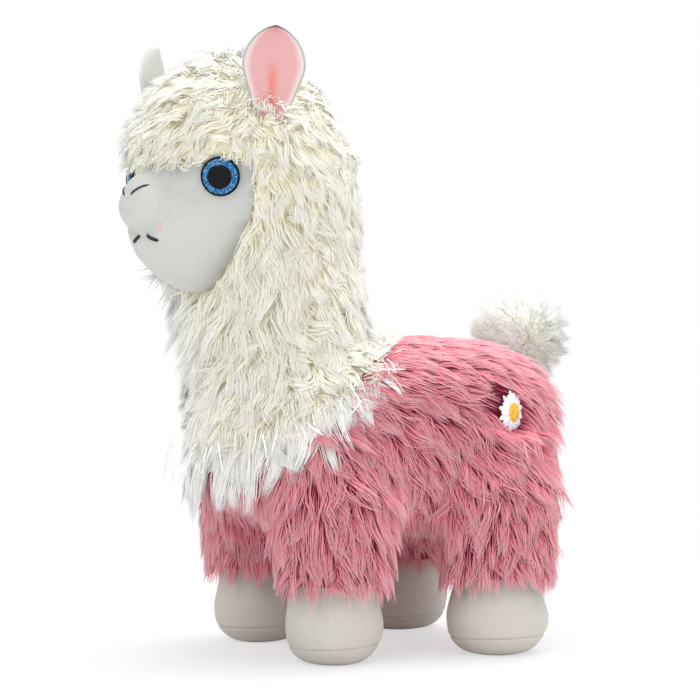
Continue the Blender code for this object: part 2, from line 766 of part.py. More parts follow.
def fibre_fill(finish):
    """One mass of fibre that fills trunk, legs, feet, neck, head and face."""
    depth = PILE_WALL + 2 * CLEARANCE
    fill = solid("fibre_fill", trunk_form(depth, 8, 12))
    for _, x, y in LEGS:
        profile = foot_profile(CLOTH + CLEARANCE)
        leg = clean_rings(foot_rings(x, y, profile[:2] + profile[3:]))
        (knee, wide), (root, narrow) = thigh_stations(x, y)
        short = [a + FILL_SHORT * (b - a) for a, b in zip(knee, root)]
        slim = wide + FILL_SHORT * (narrow - wide)
        for (mx, my, mz), radius in ((knee, wide), (short, slim)):
            r = radius - depth
            leg.append([(mx + r * math.cos(t), my + r * math.sin(t), mz)
                        for t in spread(LEG_SIDES)])
        combine(fill, solid("leg", rings_to_solid(leg)), "UNION")
    combine(fill, solid("tuck", neck_tuck()), "DIFFERENCE")
    neck = neck_form(depth, TRUNK_MIDDLE[2] + PILE_WALL, HEAD_HEIGHT, NECK_SIDES)
    combine(fill, solid("neck", neck), "UNION")
    ball = head_form(HEAD_RADIUS - FACE_BALL + CLOTH + 2 * CLEARANCE, 8, 14)
    combine(fill, solid("ball", ball), "UNION")
    front = face_layer(-CLOTH - 9 * CLEARANCE, 4, FACE_SIDES, -9 * CLEARANCE / FACE_BALL)
    start = head_point(*FACE_EYE)
    back = [[start + (p - start) * 0.2 for p in front[-1]]]
    combine(fill, solid("front", rings_to_solid(front + back)), "UNION")
    for side in (1, -1):
        frame = eye_frame(side)
        pocket = cylinder(frame, WASHER_RADIUS + 2 * CLEARANCE, -STEM_LENGTH - 2 * CLEARANCE,
                          0.01, 12)
        combine(fill, pocket, "DIFFERENCE")
    return finished(fill, finish)


def neck_tuck():
    """The room that the neck cover's tucked end takes out of the trunk's stuffing."""
    rings = []
    for rise in (-SEAM_LAP - 2 * CLEARANCE, RUFF_RISE):
        ring = []
        for t in spread(NECK_SIDES):
            x = (NECK_RADIUS + 2 * CLEARANCE) / math.cos(math.pi / NECK_SIDES) * math.cos(t)
            y = NECK_BASE_Y + (NECK_RADIUS + 2 * CLEARANCE) * math.sin(t)
            ring.append((x, y, collar_level(y) + rise))
        rings.append(ring)
    return rings_to_solid(rings)


def clean_rings(rings):
    """Rings with repeated levels left out."""
    kept = [rings[0]]
    for ring in rings[1:]:
        if ring[0][2] > kept[-1][0][2] + 1e-6:
            kept.append(ring)
    return kept


# Eyes

def turned(name, frame, profile, segments, finish):
    """Turn a closed profile of radius and height pairs about a frame's Z axis."""
    rings = []
    for radius, height in profile:
        turns = [2 * math.pi * i / segments for i in range(segments)]
        rings.append([frame @ Vector((radius * math.cos(t), radius * math.sin(t), height))
                      for t in turns])
    return solid(name, rings_to_solid(rings), finish)


def eye(side, label, finishes):
    """Cup with stem, glitter iris, clear lens and the washer behind the cloth."""
    frame = eye_frame(side)
    radius = 0.5 * EYE_DIAMETER
    seat = max(0.0, face_span(frame, radius)[1]) + CLEARANCE
    rim = seat + EYE_CUP
    bed = rim - 0.0012
    well = radius - EYE_LIP
    cup = [(STEM_RADIUS, -STEM_LENGTH), (STEM_RADIUS, seat), (radius - 0.0012, seat),
           (radius, seat + 0.0012), (radius - 0.0002, rim), (well, rim), (well, bed)]
    turned("eye_cup_" + label, frame, cup, 16, finishes["black"])
    base = bed + CLEARANCE
    iris = [(well - CLEARANCE, base), (well - CLEARANCE, base + IRIS_THICKNESS)]
    turned("eye_iris_" + label, frame, iris, 16, finishes["iris"])
    glass = base + IRIS_THICKNESS + CLEARANCE
    lens = [(well - CLEARANCE, glass)]
    for step in range(1, 4):
        lift = math.radians(90) * step / 4
        lens.append(((well - CLEARANCE) * math.cos(lift), glass + LENS_DOME * math.sin(lift)))
    turned("eye_lens_" + label, frame, lens, 16, finishes["lens"])
    back = min(0.0, face_span(frame, WASHER_RADIUS)[0]) - CLOTH - WASHER_SETBACK
    washer = ring_shell(
        [[frame @ Vector((r * math.cos(t), r * math.sin(t), z)) for t in spread(12)]
         for r, z in ((STEM_RADIUS + CLEARANCE, back), (WASHER_RADIUS, back))],
        [[frame @ Vector((r * math.cos(t), r * math.sin(t), z)) for t in spread(12)]
         for r, z in ((STEM_RADIUS + CLEARANCE, back - WASHER_THICKNESS),
                      (WASHER_RADIUS, back - WASHER_THICKNESS))])
    solid("eye_washer_" + label, washer, finishes["washer"])


def spread(count):
    return [2 * math.pi * i / count for i in range(count)]


# Ears

def ear_layer(side, lift, edge, rows, columns):
    """Grid of one face of the ear: a leaf outline, hollow across and bent at its middle."""
    half = 0.5 * EAR_WIDTH - edge
    root = ear_root(side)
    lean = Matrix.Rotation(side * EAR_LEAN, 3, "Y") @ Matrix.Rotation(side * EAR_TURN, 3, "Z")
    turn = Matrix.Rotation(HEAD_YAW, 3, "Z")
    grid = []
    for row in range(rows + 1):
        share = row / rows
        height = EAR_LENGTH * share - edge * max(0.0, 2 * share - 1)
        width = half * leaf_width(share)
        line = []
        for column in range(columns + 1):
            across = 2 * column / columns - 1
            hollow = EAR_CUP * (1 - abs(across) ** 1.5) * (1 - 0.5 * share)
            point = Vector((across * width, hollow - lift, height))
            line.append(root + turn @ (lean @ point))
        grid.append(line)
    return grid


def leaf_width(share):
    """Half-width of a leaf: an ellipse above its widest place, narrower at the root."""
    wide = 0.66
    if share < wide:
        return 1 - 0.70 * (1 - share / wide) ** 2
    return max(0.10, math.sqrt(1 - ((share - wide) / (1 - wide)) ** 2.2))


def grid_plate(front, rear):
    """A closed plate between two grids of the same size."""
    bm = bmesh.new()
    near = [[bm.verts.new(p) for p in line] for line in front]
    far = [[bm.verts.new(p) for p in line] for line in rear]
    rows = len(near)
    columns = len(near[0])
    for i in range(rows - 1):
        for j in range(columns - 1):
            bm.faces.new((near[i][j], near[i][j + 1], near[i + 1][j + 1], near[i + 1][j]))
            bm.faces.new((far[i][j], far[i + 1][j], far[i + 1][j + 1], far[i][j + 1]))
    rim = [(0, j) for j in range(columns)] + [(i, columns - 1) for i in range(1, rows)]
    rim += [(rows - 1, j) for j in range(columns - 2, -1, -1)]
    rim += [(i, 0) for i in range(rows - 2, 0, -1)]
    for (a, b), (c, d) in zip(rim, rim[1:] + rim[:1]):
        bm.faces.new((near[a][b], far[a][b], far[c][d], near[c][d]))
    return bm


def ear(side, label, seat, finishes):
    """The white back and the pink lining that sits in its hollow."""
    rows, columns = 6, 4
    backing = grid_plate(ear_layer(side, 0.0, 0.0, rows, columns),
                         ear_layer(side, -EAR_THICKNESS, 0.0, rows, columns))
    back = solid("ear_back_" + label, backing, finishes["white"])
    combine(back, seat, "DIFFERENCE", keep_tool=True)
    patch = grid_plate(ear_layer(side, CLEARANCE + CLOTH * 0.6, EAR_LINING_EDGE, rows, columns),
                       ear_layer(side, CLEARANCE, EAR_LINING_EDGE, rows, columns))
    lining = solid("ear_lining_" + label, patch, finishes["pink"])
    combine(lining, seat, "DIFFERENCE", keep_tool=True)
    finished(back, finishes["white"])
    finished(lining, finishes["pink"])


# Tail

def tail(body_seat, cover_finish, fill_finish):
    """A pompom seated on the rump, hollow round its own stuffing."""
    middle = (0.0, TAIL_Y, TAIL_HEIGHT)
    turn = Matrix.Rotation(math.radians(45), 4, "X") @ Matrix.Rotation(math.radians(33), 4, "Z")
    ball = superellipsoid(middle, [TAIL_RADIUS] * 3, 2.0, 10, 14)
    skin = fused("tail_cover", [ball], TAIL_PITCH, turn)
    seat = Vector((0.0, TRUNK_Y + 0.40 * TRUNK_LENGTH, BELLY_HEIGHT + 0.9 * TRUNK_HEIGHT))

    def is_bare(place, normal):
        return (place - seat).length < 0.75 * TAIL_RADIUS

    def lay(place, normal, dice):
        return Vector([dice.uniform(-1, 1) for _ in range(3)]) * 0.4 * TAIL_PITCH

    tufted(skin, TAIL_STAND, lay, is_bare, SEED + 3)
    combine(skin, body_seat, "DIFFERENCE", crossing=True, keep_tool=True)
    core = superellipsoid(middle, [TAIL_RADIUS - PILE_WALL] * 3, 2.0, 8, 10)
    aim = (seat - Vector(middle)).normalized()
    turn_in = aim.to_track_quat("Z", "Y").to_matrix().to_4x4()
    hollow = solid("hollow", core)
    mouth = cylinder(Matrix.Translation(middle) @ turn_in, 0.4 * TAIL_RADIUS, 0.0,
                     1.6 * TAIL_RADIUS, 10)
    combine(hollow, mouth, "UNION")
    combine(skin, hollow, "DIFFERENCE", crossing=True)
    finished(skin, cover_finish)
    fill = superellipsoid(middle, [TAIL_RADIUS - PILE_WALL - CLEARANCE] * 3, 2.0, 8, 10)
    solid("tail_fill", fill, fill_finish)


# Embroidery

def daisy(body, seat, petal_finish, centre_finish):
    """Petals in one ring of satin stitch round a raised middle, on the haunch."""
    place, facing = daisy_place()
    tree = BVHTree.FromPolygons([v.co for v in body.data.vertices],
                                [p.vertices for p in body.data.polygons])
    hit = tree.ray_cast(place + facing * 0.1, -facing)[0]
    up = Vector((0, 0, 1))
    across = up.cross(facing).normalized()
    frame = Matrix.Translation(hit) @ Matrix((across, up, facing)).transposed().to_4x4()
    count = 2 * DAISY_PETALS
    inner = DAISY_CENTRE + CLEARANCE

    def outline(scale):
        ring = []
        for i in range(count):
            turn = 2 * math.pi * i / count
            lobe = abs(math.cos(0.5 * DAISY_PETALS * turn)) ** 0.7
            radius = DAISY_RADIUS * (0.62 + 0.38 * lobe) * scale
            ring.append((radius * math.cos(turn), radius * math.sin(turn)))
        return ring

    def drape(flat, lift):
        """Lay flat points on the haunch at a height above it."""
        spots = []
        for x, y in flat:
            start = frame @ Vector((x, y, 0.03))
            found = tree.ray_cast(start, -facing)[0]
            spots.append((found if found else frame @ Vector((x, y, 0))) + facing * lift)
        return spots

    hole = [(inner * math.cos(t), inner * math.sin(t)) for t in spread(count)]
    low = 2 * CLEARANCE
    petals = ring_shell([drape(hole, low), drape(outline(1.0), low)],
                        [drape(hole, low + DAISY_THICKNESS),
                         drape(outline(0.97), low + 0.7 * DAISY_THICKNESS)])
    ring = solid("daisy_petals", petals, petal_finish)
    button = [[(DAISY_CENTRE * s * math.cos(t), DAISY_CENTRE * s * math.sin(t))
               for t in spread(12)] for s in (1.0, 0.98, 0.6)]
    layers = [drape(button[0], low), drape(button[1], low + DAISY_THICKNESS),
              drape(button[2], low + 1.6 * DAISY_THICKNESS)]
    centre = solid("daisy_centre", rings_to_solid(layers), centre_finish)
    combine(ring, seat, "DIFFERENCE", keep_tool=True)
    combine(centre, seat, "DIFFERENCE", keep_tool=True)
    finished(ring, petal_finish)
    finished(centre, centre_finish)


def stitch(name, points, finish):
    """A thread laid over the face: a four-sided tube with pointed ends."""
    bm_rings = []
    last = len(points) - 1
    for i, point in enumerate(points):
        ahead = points[min(i + 1, last)] - points[max(i - 1, 0)]
        along = ahead.normalized()
        out = (point - head_point(*FACE_EYE)).normalized()
        across = along.cross(out).normalized()
        out = across.cross(along)
        thin = 0.35 if i in (0, last) else 1.0
        bm_rings.append([point + (across * math.cos(t) + out * math.sin(t))
                         * STITCH_RADIUS * thin for t in spread(4)])
    solid(name, rings_to_solid(bm_rings), finish)


def stand_on_origin():
    """Move the whole animal so that its overall box is centred over the origin."""
    meshes = [obj.data for obj in bpy.data.objects]
    corners = np.array([v.co for mesh in meshes for v in mesh.vertices])
    middle = 0.5 * (corners.min(0) + corners.max(0))
    for mesh in meshes:
        mesh.transform(Matrix.Translation((-middle[0], -middle[1], 0.0)))


def embroidery(finish):
    """Nostrils and mouth: each a run of stitches from the middle outwards."""
    front = MUZZLE_MIDDLE[1] + MUZZLE_HALF[1] - FACE_EYE[1]
    lift = STITCH_RADIUS + 4 * CLEARANCE
    for side, label in ((1, "left"), (-1, "right")):
        nostril = []
        mouth = []
        for step in range(6):
            share = step / 5
            left = side * (0.0012 + NOSTRIL_LENGTH * share)
            up = NOSTRIL_RISE + 0.0040 * share
            nostril.append(face_point((left, front, up), lift - NOSE_FACET))
            left = side * (0.0012 + MOUTH_HALF * share)
            up = -MOUTH_DROP - 0.0045 * share ** 1.3
            mouth.append(face_point((left, front, up), lift))
        stitch("nostril_stitch_" + label, nostril, finish)
        stitch("mouth_stitch_" + label, mouth, finish)


def build():
    for old in list(bpy.data.objects):
        bpy.data.objects.remove(old, do_unlink=True)
    pink = material("pink_long_pile", "E0808F", 0.95)
    cream = material("cream_curly_pile", "F7F2DC", 0.95)
    white_pile = material("white_long_pile", "F8F5EE", 0.9)
    white = material("white_short_pile", "F4F1EC", 0.9)
    lining = material("pink_ear_lining", "F4B6B4", 0.85)
    black = material("black_moulded_plastic", "0C0C10", 0.25)
    iris = material("blue_glitter_disc", "2E7FB8", 0.3, 0.4)
    lens = material("clear_acrylic", "DDEBF5", 0.05, 0.0, 0.35)
    nylon = material("natural_nylon", "E9E6DC", 0.5)
    fibre = material("polyester_fibre", "FAFAF7", 1.0)
    thread = material("black_thread", "17151A", 0.7)
    petal = material("white_thread", "F7F7F4", 0.6)
    middle = material("yellow_thread", "F2C12E", 0.6)

    body, body_seat = body_skin()
    head, head_seat = head_skin()
    body_cover(body, pink)
    head_neck_cover(head, cream)
    neck_ruff(body_seat, white_pile)
    face_panel(white)
    fibre_fill(fibre)
    for name, x, y in LEGS:
        foot_and_sole(name, x, y, white, white)
    finishes = {"black": black, "iris": iris, "lens": lens, "washer": nylon}
    for side, label in ((1, "left"), (-1, "right")):
        eye(side, label, finishes)
        ear(side, label, head_seat, {"white": white, "pink": lining})
    tail(body_seat, cream, fibre)
    daisy(body, body_seat, petal, middle)
    embroidery(thread)
    discard(body, head, body_seat, head_seat)
    stand_on_origin()


build()
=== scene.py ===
"""Plush alpaca, dressed: pile, short-pile face and feet, safety eyes, ears, collar with
tinsel, pompom tail and embroidery, laid over the fixed frame."""

import math

import bmesh
import bpy
import numpy as np
from bpy.props import FloatProperty, FloatVectorProperty, IntProperty, PointerProperty
from bpy.types import Operator, Panel, PropertyGroup
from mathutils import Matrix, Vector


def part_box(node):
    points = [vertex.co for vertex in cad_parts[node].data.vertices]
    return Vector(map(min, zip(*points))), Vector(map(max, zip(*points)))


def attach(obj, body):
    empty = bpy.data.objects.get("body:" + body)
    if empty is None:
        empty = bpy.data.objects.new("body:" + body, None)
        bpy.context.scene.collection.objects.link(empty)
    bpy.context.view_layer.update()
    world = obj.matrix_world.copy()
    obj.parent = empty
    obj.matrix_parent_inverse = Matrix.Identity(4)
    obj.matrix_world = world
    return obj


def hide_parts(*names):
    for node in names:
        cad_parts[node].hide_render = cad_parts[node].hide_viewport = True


bl_info = {
    "name": "Plush alpaca",
    "version": (1, 0, 0),
    "blender": (4, 5, 0),
    "location": "View3D > Sidebar > Alpaca",
    "description": "Pile, face, feet, eyes, ears, collar, tail and embroidery of a plush alpaca",
    "category": "Add Mesh",
}

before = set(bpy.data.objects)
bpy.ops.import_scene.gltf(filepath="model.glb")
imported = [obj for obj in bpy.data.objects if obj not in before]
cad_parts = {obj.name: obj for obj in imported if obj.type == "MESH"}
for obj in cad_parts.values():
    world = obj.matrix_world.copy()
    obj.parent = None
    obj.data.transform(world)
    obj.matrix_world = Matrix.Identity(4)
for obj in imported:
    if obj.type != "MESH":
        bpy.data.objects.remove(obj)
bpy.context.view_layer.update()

# The sewing pattern's sizes, in metres. The animal faces -Y and its left side is +X.
TRUNK_HALF = np.array((0.059, 0.086, 0.045))
TRUNK_MIDDLE = np.array((0.0, 0.001, 0.106))
TRUNK_POWER = 2.8
CHEST_POWER = 2.2
RUMP_POWER = 3.4
LEGS = (("front_left", 0.042, -0.043), ("front_right", -0.042, -0.043),
        ("rear_left", 0.050, 0.042), ("rear_right", -0.050, 0.042))
SLEEVE_RADIUS = 0.0255
THIGH_RADIUS = 0.0290
THIGH_INSET = 0.012
HEM_HEIGHT = 0.037
FOOT_TOP = 0.049
NECK_RADIUS = 0.0385
NECK_BASE = 0.100
NECK_STRAIGHT = 0.1566
NECK_BASE_Y = -0.051
NECK_TOP_Y = -0.060
COLLAR_HEIGHT = 0.131
COLLAR_SLOPE = 0.50
HEAD_MIDDLE = np.array((0.0, -0.0735, 0.236))
HEAD_RADIUS = 0.052
HEAD_YAW = math.radians(14)
FACE_BALL = 0.0495
FACE_EYE = np.array((0.0, 0.012, -0.028))
MUZZLE_MIDDLE = np.array((0.0, 0.019, -0.030))
MUZZLE_HALF = np.array((0.0345, 0.0405, 0.0315))
MUZZLE_FRONT = MUZZLE_MIDDLE[1] + MUZZLE_HALF[1] - FACE_EYE[1]
CHIN_TAPER = 0.5
NOSE_RISE = 0.0100
NOSE_RADIUS = 0.0135
NOSE_STAND = 0.0078
BRIDGE_STAND = 0.0030
NOSTRIL_RISE = 0.0104
MOUTH_DROP = 0.0070
FACE_TOP = math.radians(33)
FACE_SIDE = math.radians(79)
FACE_CHIN = math.radians(79)
EYE_DIAMETER = 0.0184
EYE_SIDE = 0.0330
EYE_HEIGHT = -0.0080
EYE_VIEW = 0.0086
TAIL_MIDDLE = np.array((0.0, 0.080, 0.1515))
TAIL_RADIUS = 0.0200
POMPOM_MIDDLE = TAIL_MIDDLE + (0.0, 0.0050, 0.0020)
POMPOM_RADIUS = 0.0168
DAISY_MIDDLE = np.array((0.059, 0.044, 0.118))
DAISY_RADIUS = 0.0105
DAISY_TURN = math.radians(26)
DAISY_BARE = 0.0108
DAISY_VIEW = 0.0086
PETAL_ROOT = 0.0030
CLOTH = 0.0015
CLEARANCE = 0.0003
FOOT_WIDTH = 0.044
FOOT_LENGTH = 0.047
FOOT_NECK = 0.0200
TREAD_SEAM = 0.0088
REAR_FOOT_GROWTH = 0.08
STEM_RADIUS = 0.0021
STEM_LENGTH = 0.0110
EAR_LENGTH = 0.056
EAR_WIDTH = 0.030
EAR_THICKNESS = 0.0022
EAR_SIDE = 0.0450
EAR_FORWARD = 0.017
EAR_BASE = 0.0060
EAR_CUP = 0.0050
EAR_LEAN = math.radians(5)
EAR_TURN = math.radians(60)
KNEE_HEIGHT = 0.0835
BODY_BLEND = 0.012
HEAD_BLEND = 0.016

# How far forms lie under the pile's roots, how far tinsel stands out, and the boxes that
# hold the covers' surfaces, in which roots are drawn.
BACKING_DEPTH = 0.0012
STUFFING_DEPTH = 0.0065
TINSEL_LIFT = 0.0115
BODY_BOX = ((-0.085, -0.095, 0.034), (0.085, 0.095, 0.158))
HEAD_BOX = ((-0.058, -0.132, 0.095), (0.058, 0.0, 0.292))
COLLAR_BOX = ((-0.068, -0.115, 0.08), (0.068, 0.025, 0.175))
TAIL_BOX = (POMPOM_MIDDLE - 0.022, POMPOM_MIDDLE + 0.022)


def pattern_shift():
    """How far the frame stands from the sewing pattern's own origin, from a foot's box."""
    low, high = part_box("front_left_foot")
    middle = (np.array(low) + np.array(high)) / 2
    return np.array((middle[0] - LEGS[0][1], middle[1] - LEGS[0][2], 0.0))


SHIFT = pattern_shift()


# Colour and nodes

def linear(code):
    """sRGB hex to linear RGBA; a user's colour is linear already."""
    if not isinstance(code, str):
        return tuple(code) + (1.0,)
    parts = [int(code[i:i + 2], 16) / 255 for i in (0, 2, 4)]
    return tuple(c / 12.92 if c <= 0.04045 else ((c + 0.055) / 1.055) ** 2.4
                 for c in parts) + (1.0,)


def add(tree, kind, settings=None, **links):
    """Add a node: settings are its own attributes, or the stops of a ramp as (place, hex);
    links are its inputs by name or number."""
    node = tree.nodes.new(kind)
    for key, value in (settings or {}).items():
        if key != "stops":
            setattr(node, key, value)
            continue
        elements = node.color_ramp.elements
        while len(elements) < len(value):
            elements.new(0.5)
        for element, (place, code) in zip(elements, value):
            element.position = place
            element.color = linear(code)
    for key, value in links.items():
        socket = node.inputs[int(key[1:])] if key[1:].isdigit() else node.inputs[
            key.replace("_", " ")]
        if isinstance(value, bpy.types.NodeSocket):
            tree.links.new(value, socket)
        else:
            socket.default_value = value
    return node


def material(name, **sockets):
    """A material with its Principled shader, constants set on the shader's own sockets."""
    finish = bpy.data.materials.new(name)
    finish.use_nodes = True
    shader = finish.node_tree.nodes["Principled BSDF"]
    for key, value in sockets.items():
        shader.inputs[key.replace("_", " ")].default_value = value
    return finish, finish.node_tree, shader


# Meshes

def mesh_object(name, points, faces, finish, uv=None, smooth=True):
    """One mesh object at the origin, from arrays of points and triangles."""
    points = np.asarray(points, dtype=np.float32).reshape(-1, 3)
    faces = np.asarray(faces, dtype=np.int32).reshape(-1, 3)
    mesh = bpy.data.meshes.new(name)
    mesh.vertices.add(len(points))
    mesh.vertices.foreach_set("co", points.ravel())
    mesh.loops.add(faces.size)
    mesh.loops.foreach_set("vertex_index", faces.ravel())
    mesh.polygons.add(len(faces))
    mesh.polygons.foreach_set("loop_start", np.arange(0, faces.size, 3, dtype=np.int32))
    mesh.polygons.foreach_set("use_smooth", np.full(len(faces), smooth))
    if uv is not None:
        layer = mesh.uv_layers.new(name="pattern")
        spots = np.asarray(uv, dtype=np.float32).reshape(-1, 2)[faces.ravel()]
        layer.data.foreach_set("uv", spots.ravel())
    mesh.update(calc_edges=True)
    mesh.materials.append(finish)
    obj = bpy.data.objects.new(name, mesh)
    bpy.context.collection.objects.link(obj)
    return obj


def grid_faces(rows, columns, wrap):
    """Triangles over a grid; wrap joins the last column to the first."""
    r = np.arange(rows - 1)[:, None]
    c = np.arange(columns if wrap else columns - 1)[None, :]
    n = (c + 1) % columns
    a, b = r * columns + c, r * columns + n
    d, e = (r + 1) * columns + c, (r + 1) * columns + n
    return np.concatenate([np.stack([a, b, e], -1).reshape(-1, 3),
                           np.stack([a, e, d], -1).reshape(-1, 3)])


def closed_stack(rings):
    """Points and triangles of rings joined in turn, each end closed to its middle."""
    rings = np.asarray(rings)
    rows, columns = rings.shape[:2]
    faces = grid_faces(rows, columns, True)
    c = np.arange(columns)
    first = np.stack([(c + 1) % columns, c, np.full(columns, rows * columns)], -1)
    base = (rows - 1) * columns
    last = np.stack([base + c, base + (c + 1) % columns,
                     np.full(columns, rows * columns + 1)], -1)
    points = np.concatenate([rings.reshape(-1, 3), rings[:1].mean(1), rings[-1:].mean(1)])
    return points, np.concatenate([faces, first, last])


def joined(parts):
    """Several (points, faces) as one."""
    points, faces = zip(*parts)
    starts = np.cumsum([0] + [len(each) for each in points[:-1]])
    return np.concatenate(points), np.concatenate([f + s for f, s in zip(faces, starts)])


def closed_piece(name, shape, finish, uv=None):
    """A piece from closed (points, faces) in the pattern's frame, its faces outwards."""
    piece = mesh_object(name, shape[0] + SHIFT, shape[1], finish, uv)
    bm = bmesh.new()
    bm.from_mesh(piece.data)
    bmesh.ops.recalc_face_normals(bm, faces=bm.faces)
    bm.to_mesh(piece.data)
    bm.free()
    return piece


def circle(sides):
    """Angles of evenly spaced points once round."""
    return np.linspace(0, 2 * math.pi, sides, endpoint=False)


def sphere(rows, columns, pole=0.02):
    """Unit rays on a grid, from near one pole along z to near the other."""
    around = circle(columns)
    polar = np.linspace(pole, math.pi - pole, rows)[:, None]
    return np.stack([np.sin(polar) * np.cos(around), np.sin(polar) * np.sin(around),
                     -np.cos(polar) * np.ones(columns)], -1)


def unit(v):
    """Vectors over their own length."""
    return v / np.maximum(np.linalg.norm(v, axis=-1, keepdims=True), 1e-12)


# Forms under the pile: depth functions, negative inside

def trunk_depth(p):
    """(r - 1) / r times the distance to the middle, where r is
    (|x/a|^p + |z/c|^p + |y/b|^q)^(1/p) and q is smaller at the chest than at the rump."""
    off = p - TRUNK_MIDDLE
    q = np.abs(off) / TRUNK_HALF
    power = np.where(off[:, 1] < 0, CHEST_POWER, RUMP_POWER)
    total = q[:, 0] ** TRUNK_POWER + q[:, 2] ** TRUNK_POWER + q[:, 1] ** power
    ratio = np.maximum(total, 1e-9) ** (1 / TRUNK_POWER)
    return (ratio - 1) * np.linalg.norm(off, axis=1) / np.maximum(ratio, 1e-6)


def leg_axis(x, z):
    """Sideways place and radius of a leg at each height."""
    inner = x - math.copysign(THIGH_INSET, x)
    heights = (FOOT_TOP, KNEE_HEIGHT, TRUNK_MIDDLE[2])
    place = np.interp(z, heights, (x, 0.5 * (x + inner), inner))
    radius = np.interp(z, heights, (SLEEVE_RADIUS, THIGH_RADIUS, 0.8 * THIGH_RADIUS))
    return place, radius


def leg_depth(p, x, y):
    """Distance to the leg's bent, tapering tube between hem and trunk middle."""
    place, radius = leg_axis(x, p[:, 2])
    round_part = np.hypot(p[:, 0] - place, p[:, 1] - y) - radius
    return np.maximum(round_part, np.maximum(HEM_HEIGHT - p[:, 2], p[:, 2] - TRUNK_MIDDLE[2]))


def blend(a, b, width):
    """Smooth least of two depths: b + (a - b) h - width h (1 - h), where h runs from 0 to 1
    over the width."""
    h = np.clip(0.5 + 0.5 * (b - a) / width, 0, 1)
    return b + (a - b) * h - width * h * (1 - h)


def body_depth(p):
    """Trunk blended with each leg in turn."""
    depth = trunk_depth(p)
    for _, x, y in LEGS:
        depth = blend(depth, leg_depth(p, x, y), BODY_BLEND)
    return depth


def neck_axis(z):
    """The neck's middle along y: it leans back evenly above its straight foot."""
    return np.interp(z, (NECK_STRAIGHT, HEAD_MIDDLE[2]), (NECK_BASE_Y, NECK_TOP_Y))


def head_depth(p):
    """Distance to the head's ball, blended with that to the neck's upright tube."""
    ball = np.linalg.norm(p - HEAD_MIDDLE, axis=1) - HEAD_RADIUS
    tube = np.hypot(p[:, 0], p[:, 1] - neck_axis(p[:, 2])) - NECK_RADIUS
    tube = np.maximum(tube, p[:, 2] - HEAD_MIDDLE[2])
    return blend(ball, tube, HEAD_BLEND)


def whole_depth(p):
    """Trunk and neck together, for the collar that lies over both."""
    tube = np.hypot(p[:, 0], p[:, 1] - neck_axis(p[:, 2])) - NECK_RADIUS
    return blend(body_depth(p), tube, BODY_BLEND)


def tail_depth(p):
    """Distance to the pompom's ball."""
    return np.linalg.norm(p - POMPOM_MIDDLE, axis=1) - POMPOM_RADIUS


def collar_rise(p):
    """Height above the slanting collar seam."""
    seam = COLLAR_HEIGHT + COLLAR_SLOPE * (p[:, 1] - NECK_BASE_Y)
    return (p[:, 2] - seam) / math.hypot(1, COLLAR_SLOPE)


def settle(depth, p, steps=3):
    """Move places onto depth = 0 along its gradient, and give the way out there."""
    for _ in range(steps):
        slope = gradient(depth, p)
        p = p - depth(p)[:, None] * slope / (slope ** 2).sum(1, keepdims=True)
    return p, unit(gradient(depth, p))


def gradient(depth, p, step=2e-4):
    """Central differences of a depth along x, y and z."""
    parts = [depth(p + step * axis) - depth(p - step * axis) for axis in np.eye(3)]
    return np.stack(parts, -1) / (2 * step)


def shell(depth, box, count, dice, keep):
    """Places spread evenly by area: drawn in a thin shell and moved onto the surface."""
    places, ways = [], []
    total = 0
    while total < count:
        p = dice.uniform(*box, (60000, 3))
        p = p[np.abs(depth(p)) < 0.003]
        p, n = settle(depth, p)
        chosen = keep(p, n)
        places.append(p[chosen])
        ways.append(n[chosen])
        total += int(chosen.sum())
    return np.concatenate(places)[:count], np.concatenate(ways)[:count]


def thinned(p, n, pitch):
    """One place for each cell of a lattice, as the middles of locks."""
    cells = np.floor(p / pitch).astype(int)
    _, first = np.unique(cells, axis=0, return_index=True)
    return p[first], n[first]


def nearest(p, seeds):
    """Index of the closest seed to each place."""
    found = []
    size = (seeds ** 2).sum(1)
    for part in np.array_split(p, max(1, len(p) // 2000)):
        found.append((size - 2 * part @ seeds.T).argmin(1))
    return np.concatenate(found)


# Pile

CURLY = np.array((0.0, 0.35, 0.70, 1.0))
BENT = np.array((0.0, 0.45, 1.0))
STRAIGHT = np.array((0.0, 0.5, 1.0))


def sweep(roots, start, end, length, places):
    """Centre lines whose direction turns evenly from start to end: the integral of
    (1 - s) start + s end, which is (s - s^2/2) start + s^2/2 end, times the length."""
    s = places[None, :, None]
    run = start[:, None] * (s - s * s / 2) + end[:, None] * (s * s / 2)
    return roots[:, None] + run * np.asarray(length).reshape(-1, 1, 1)


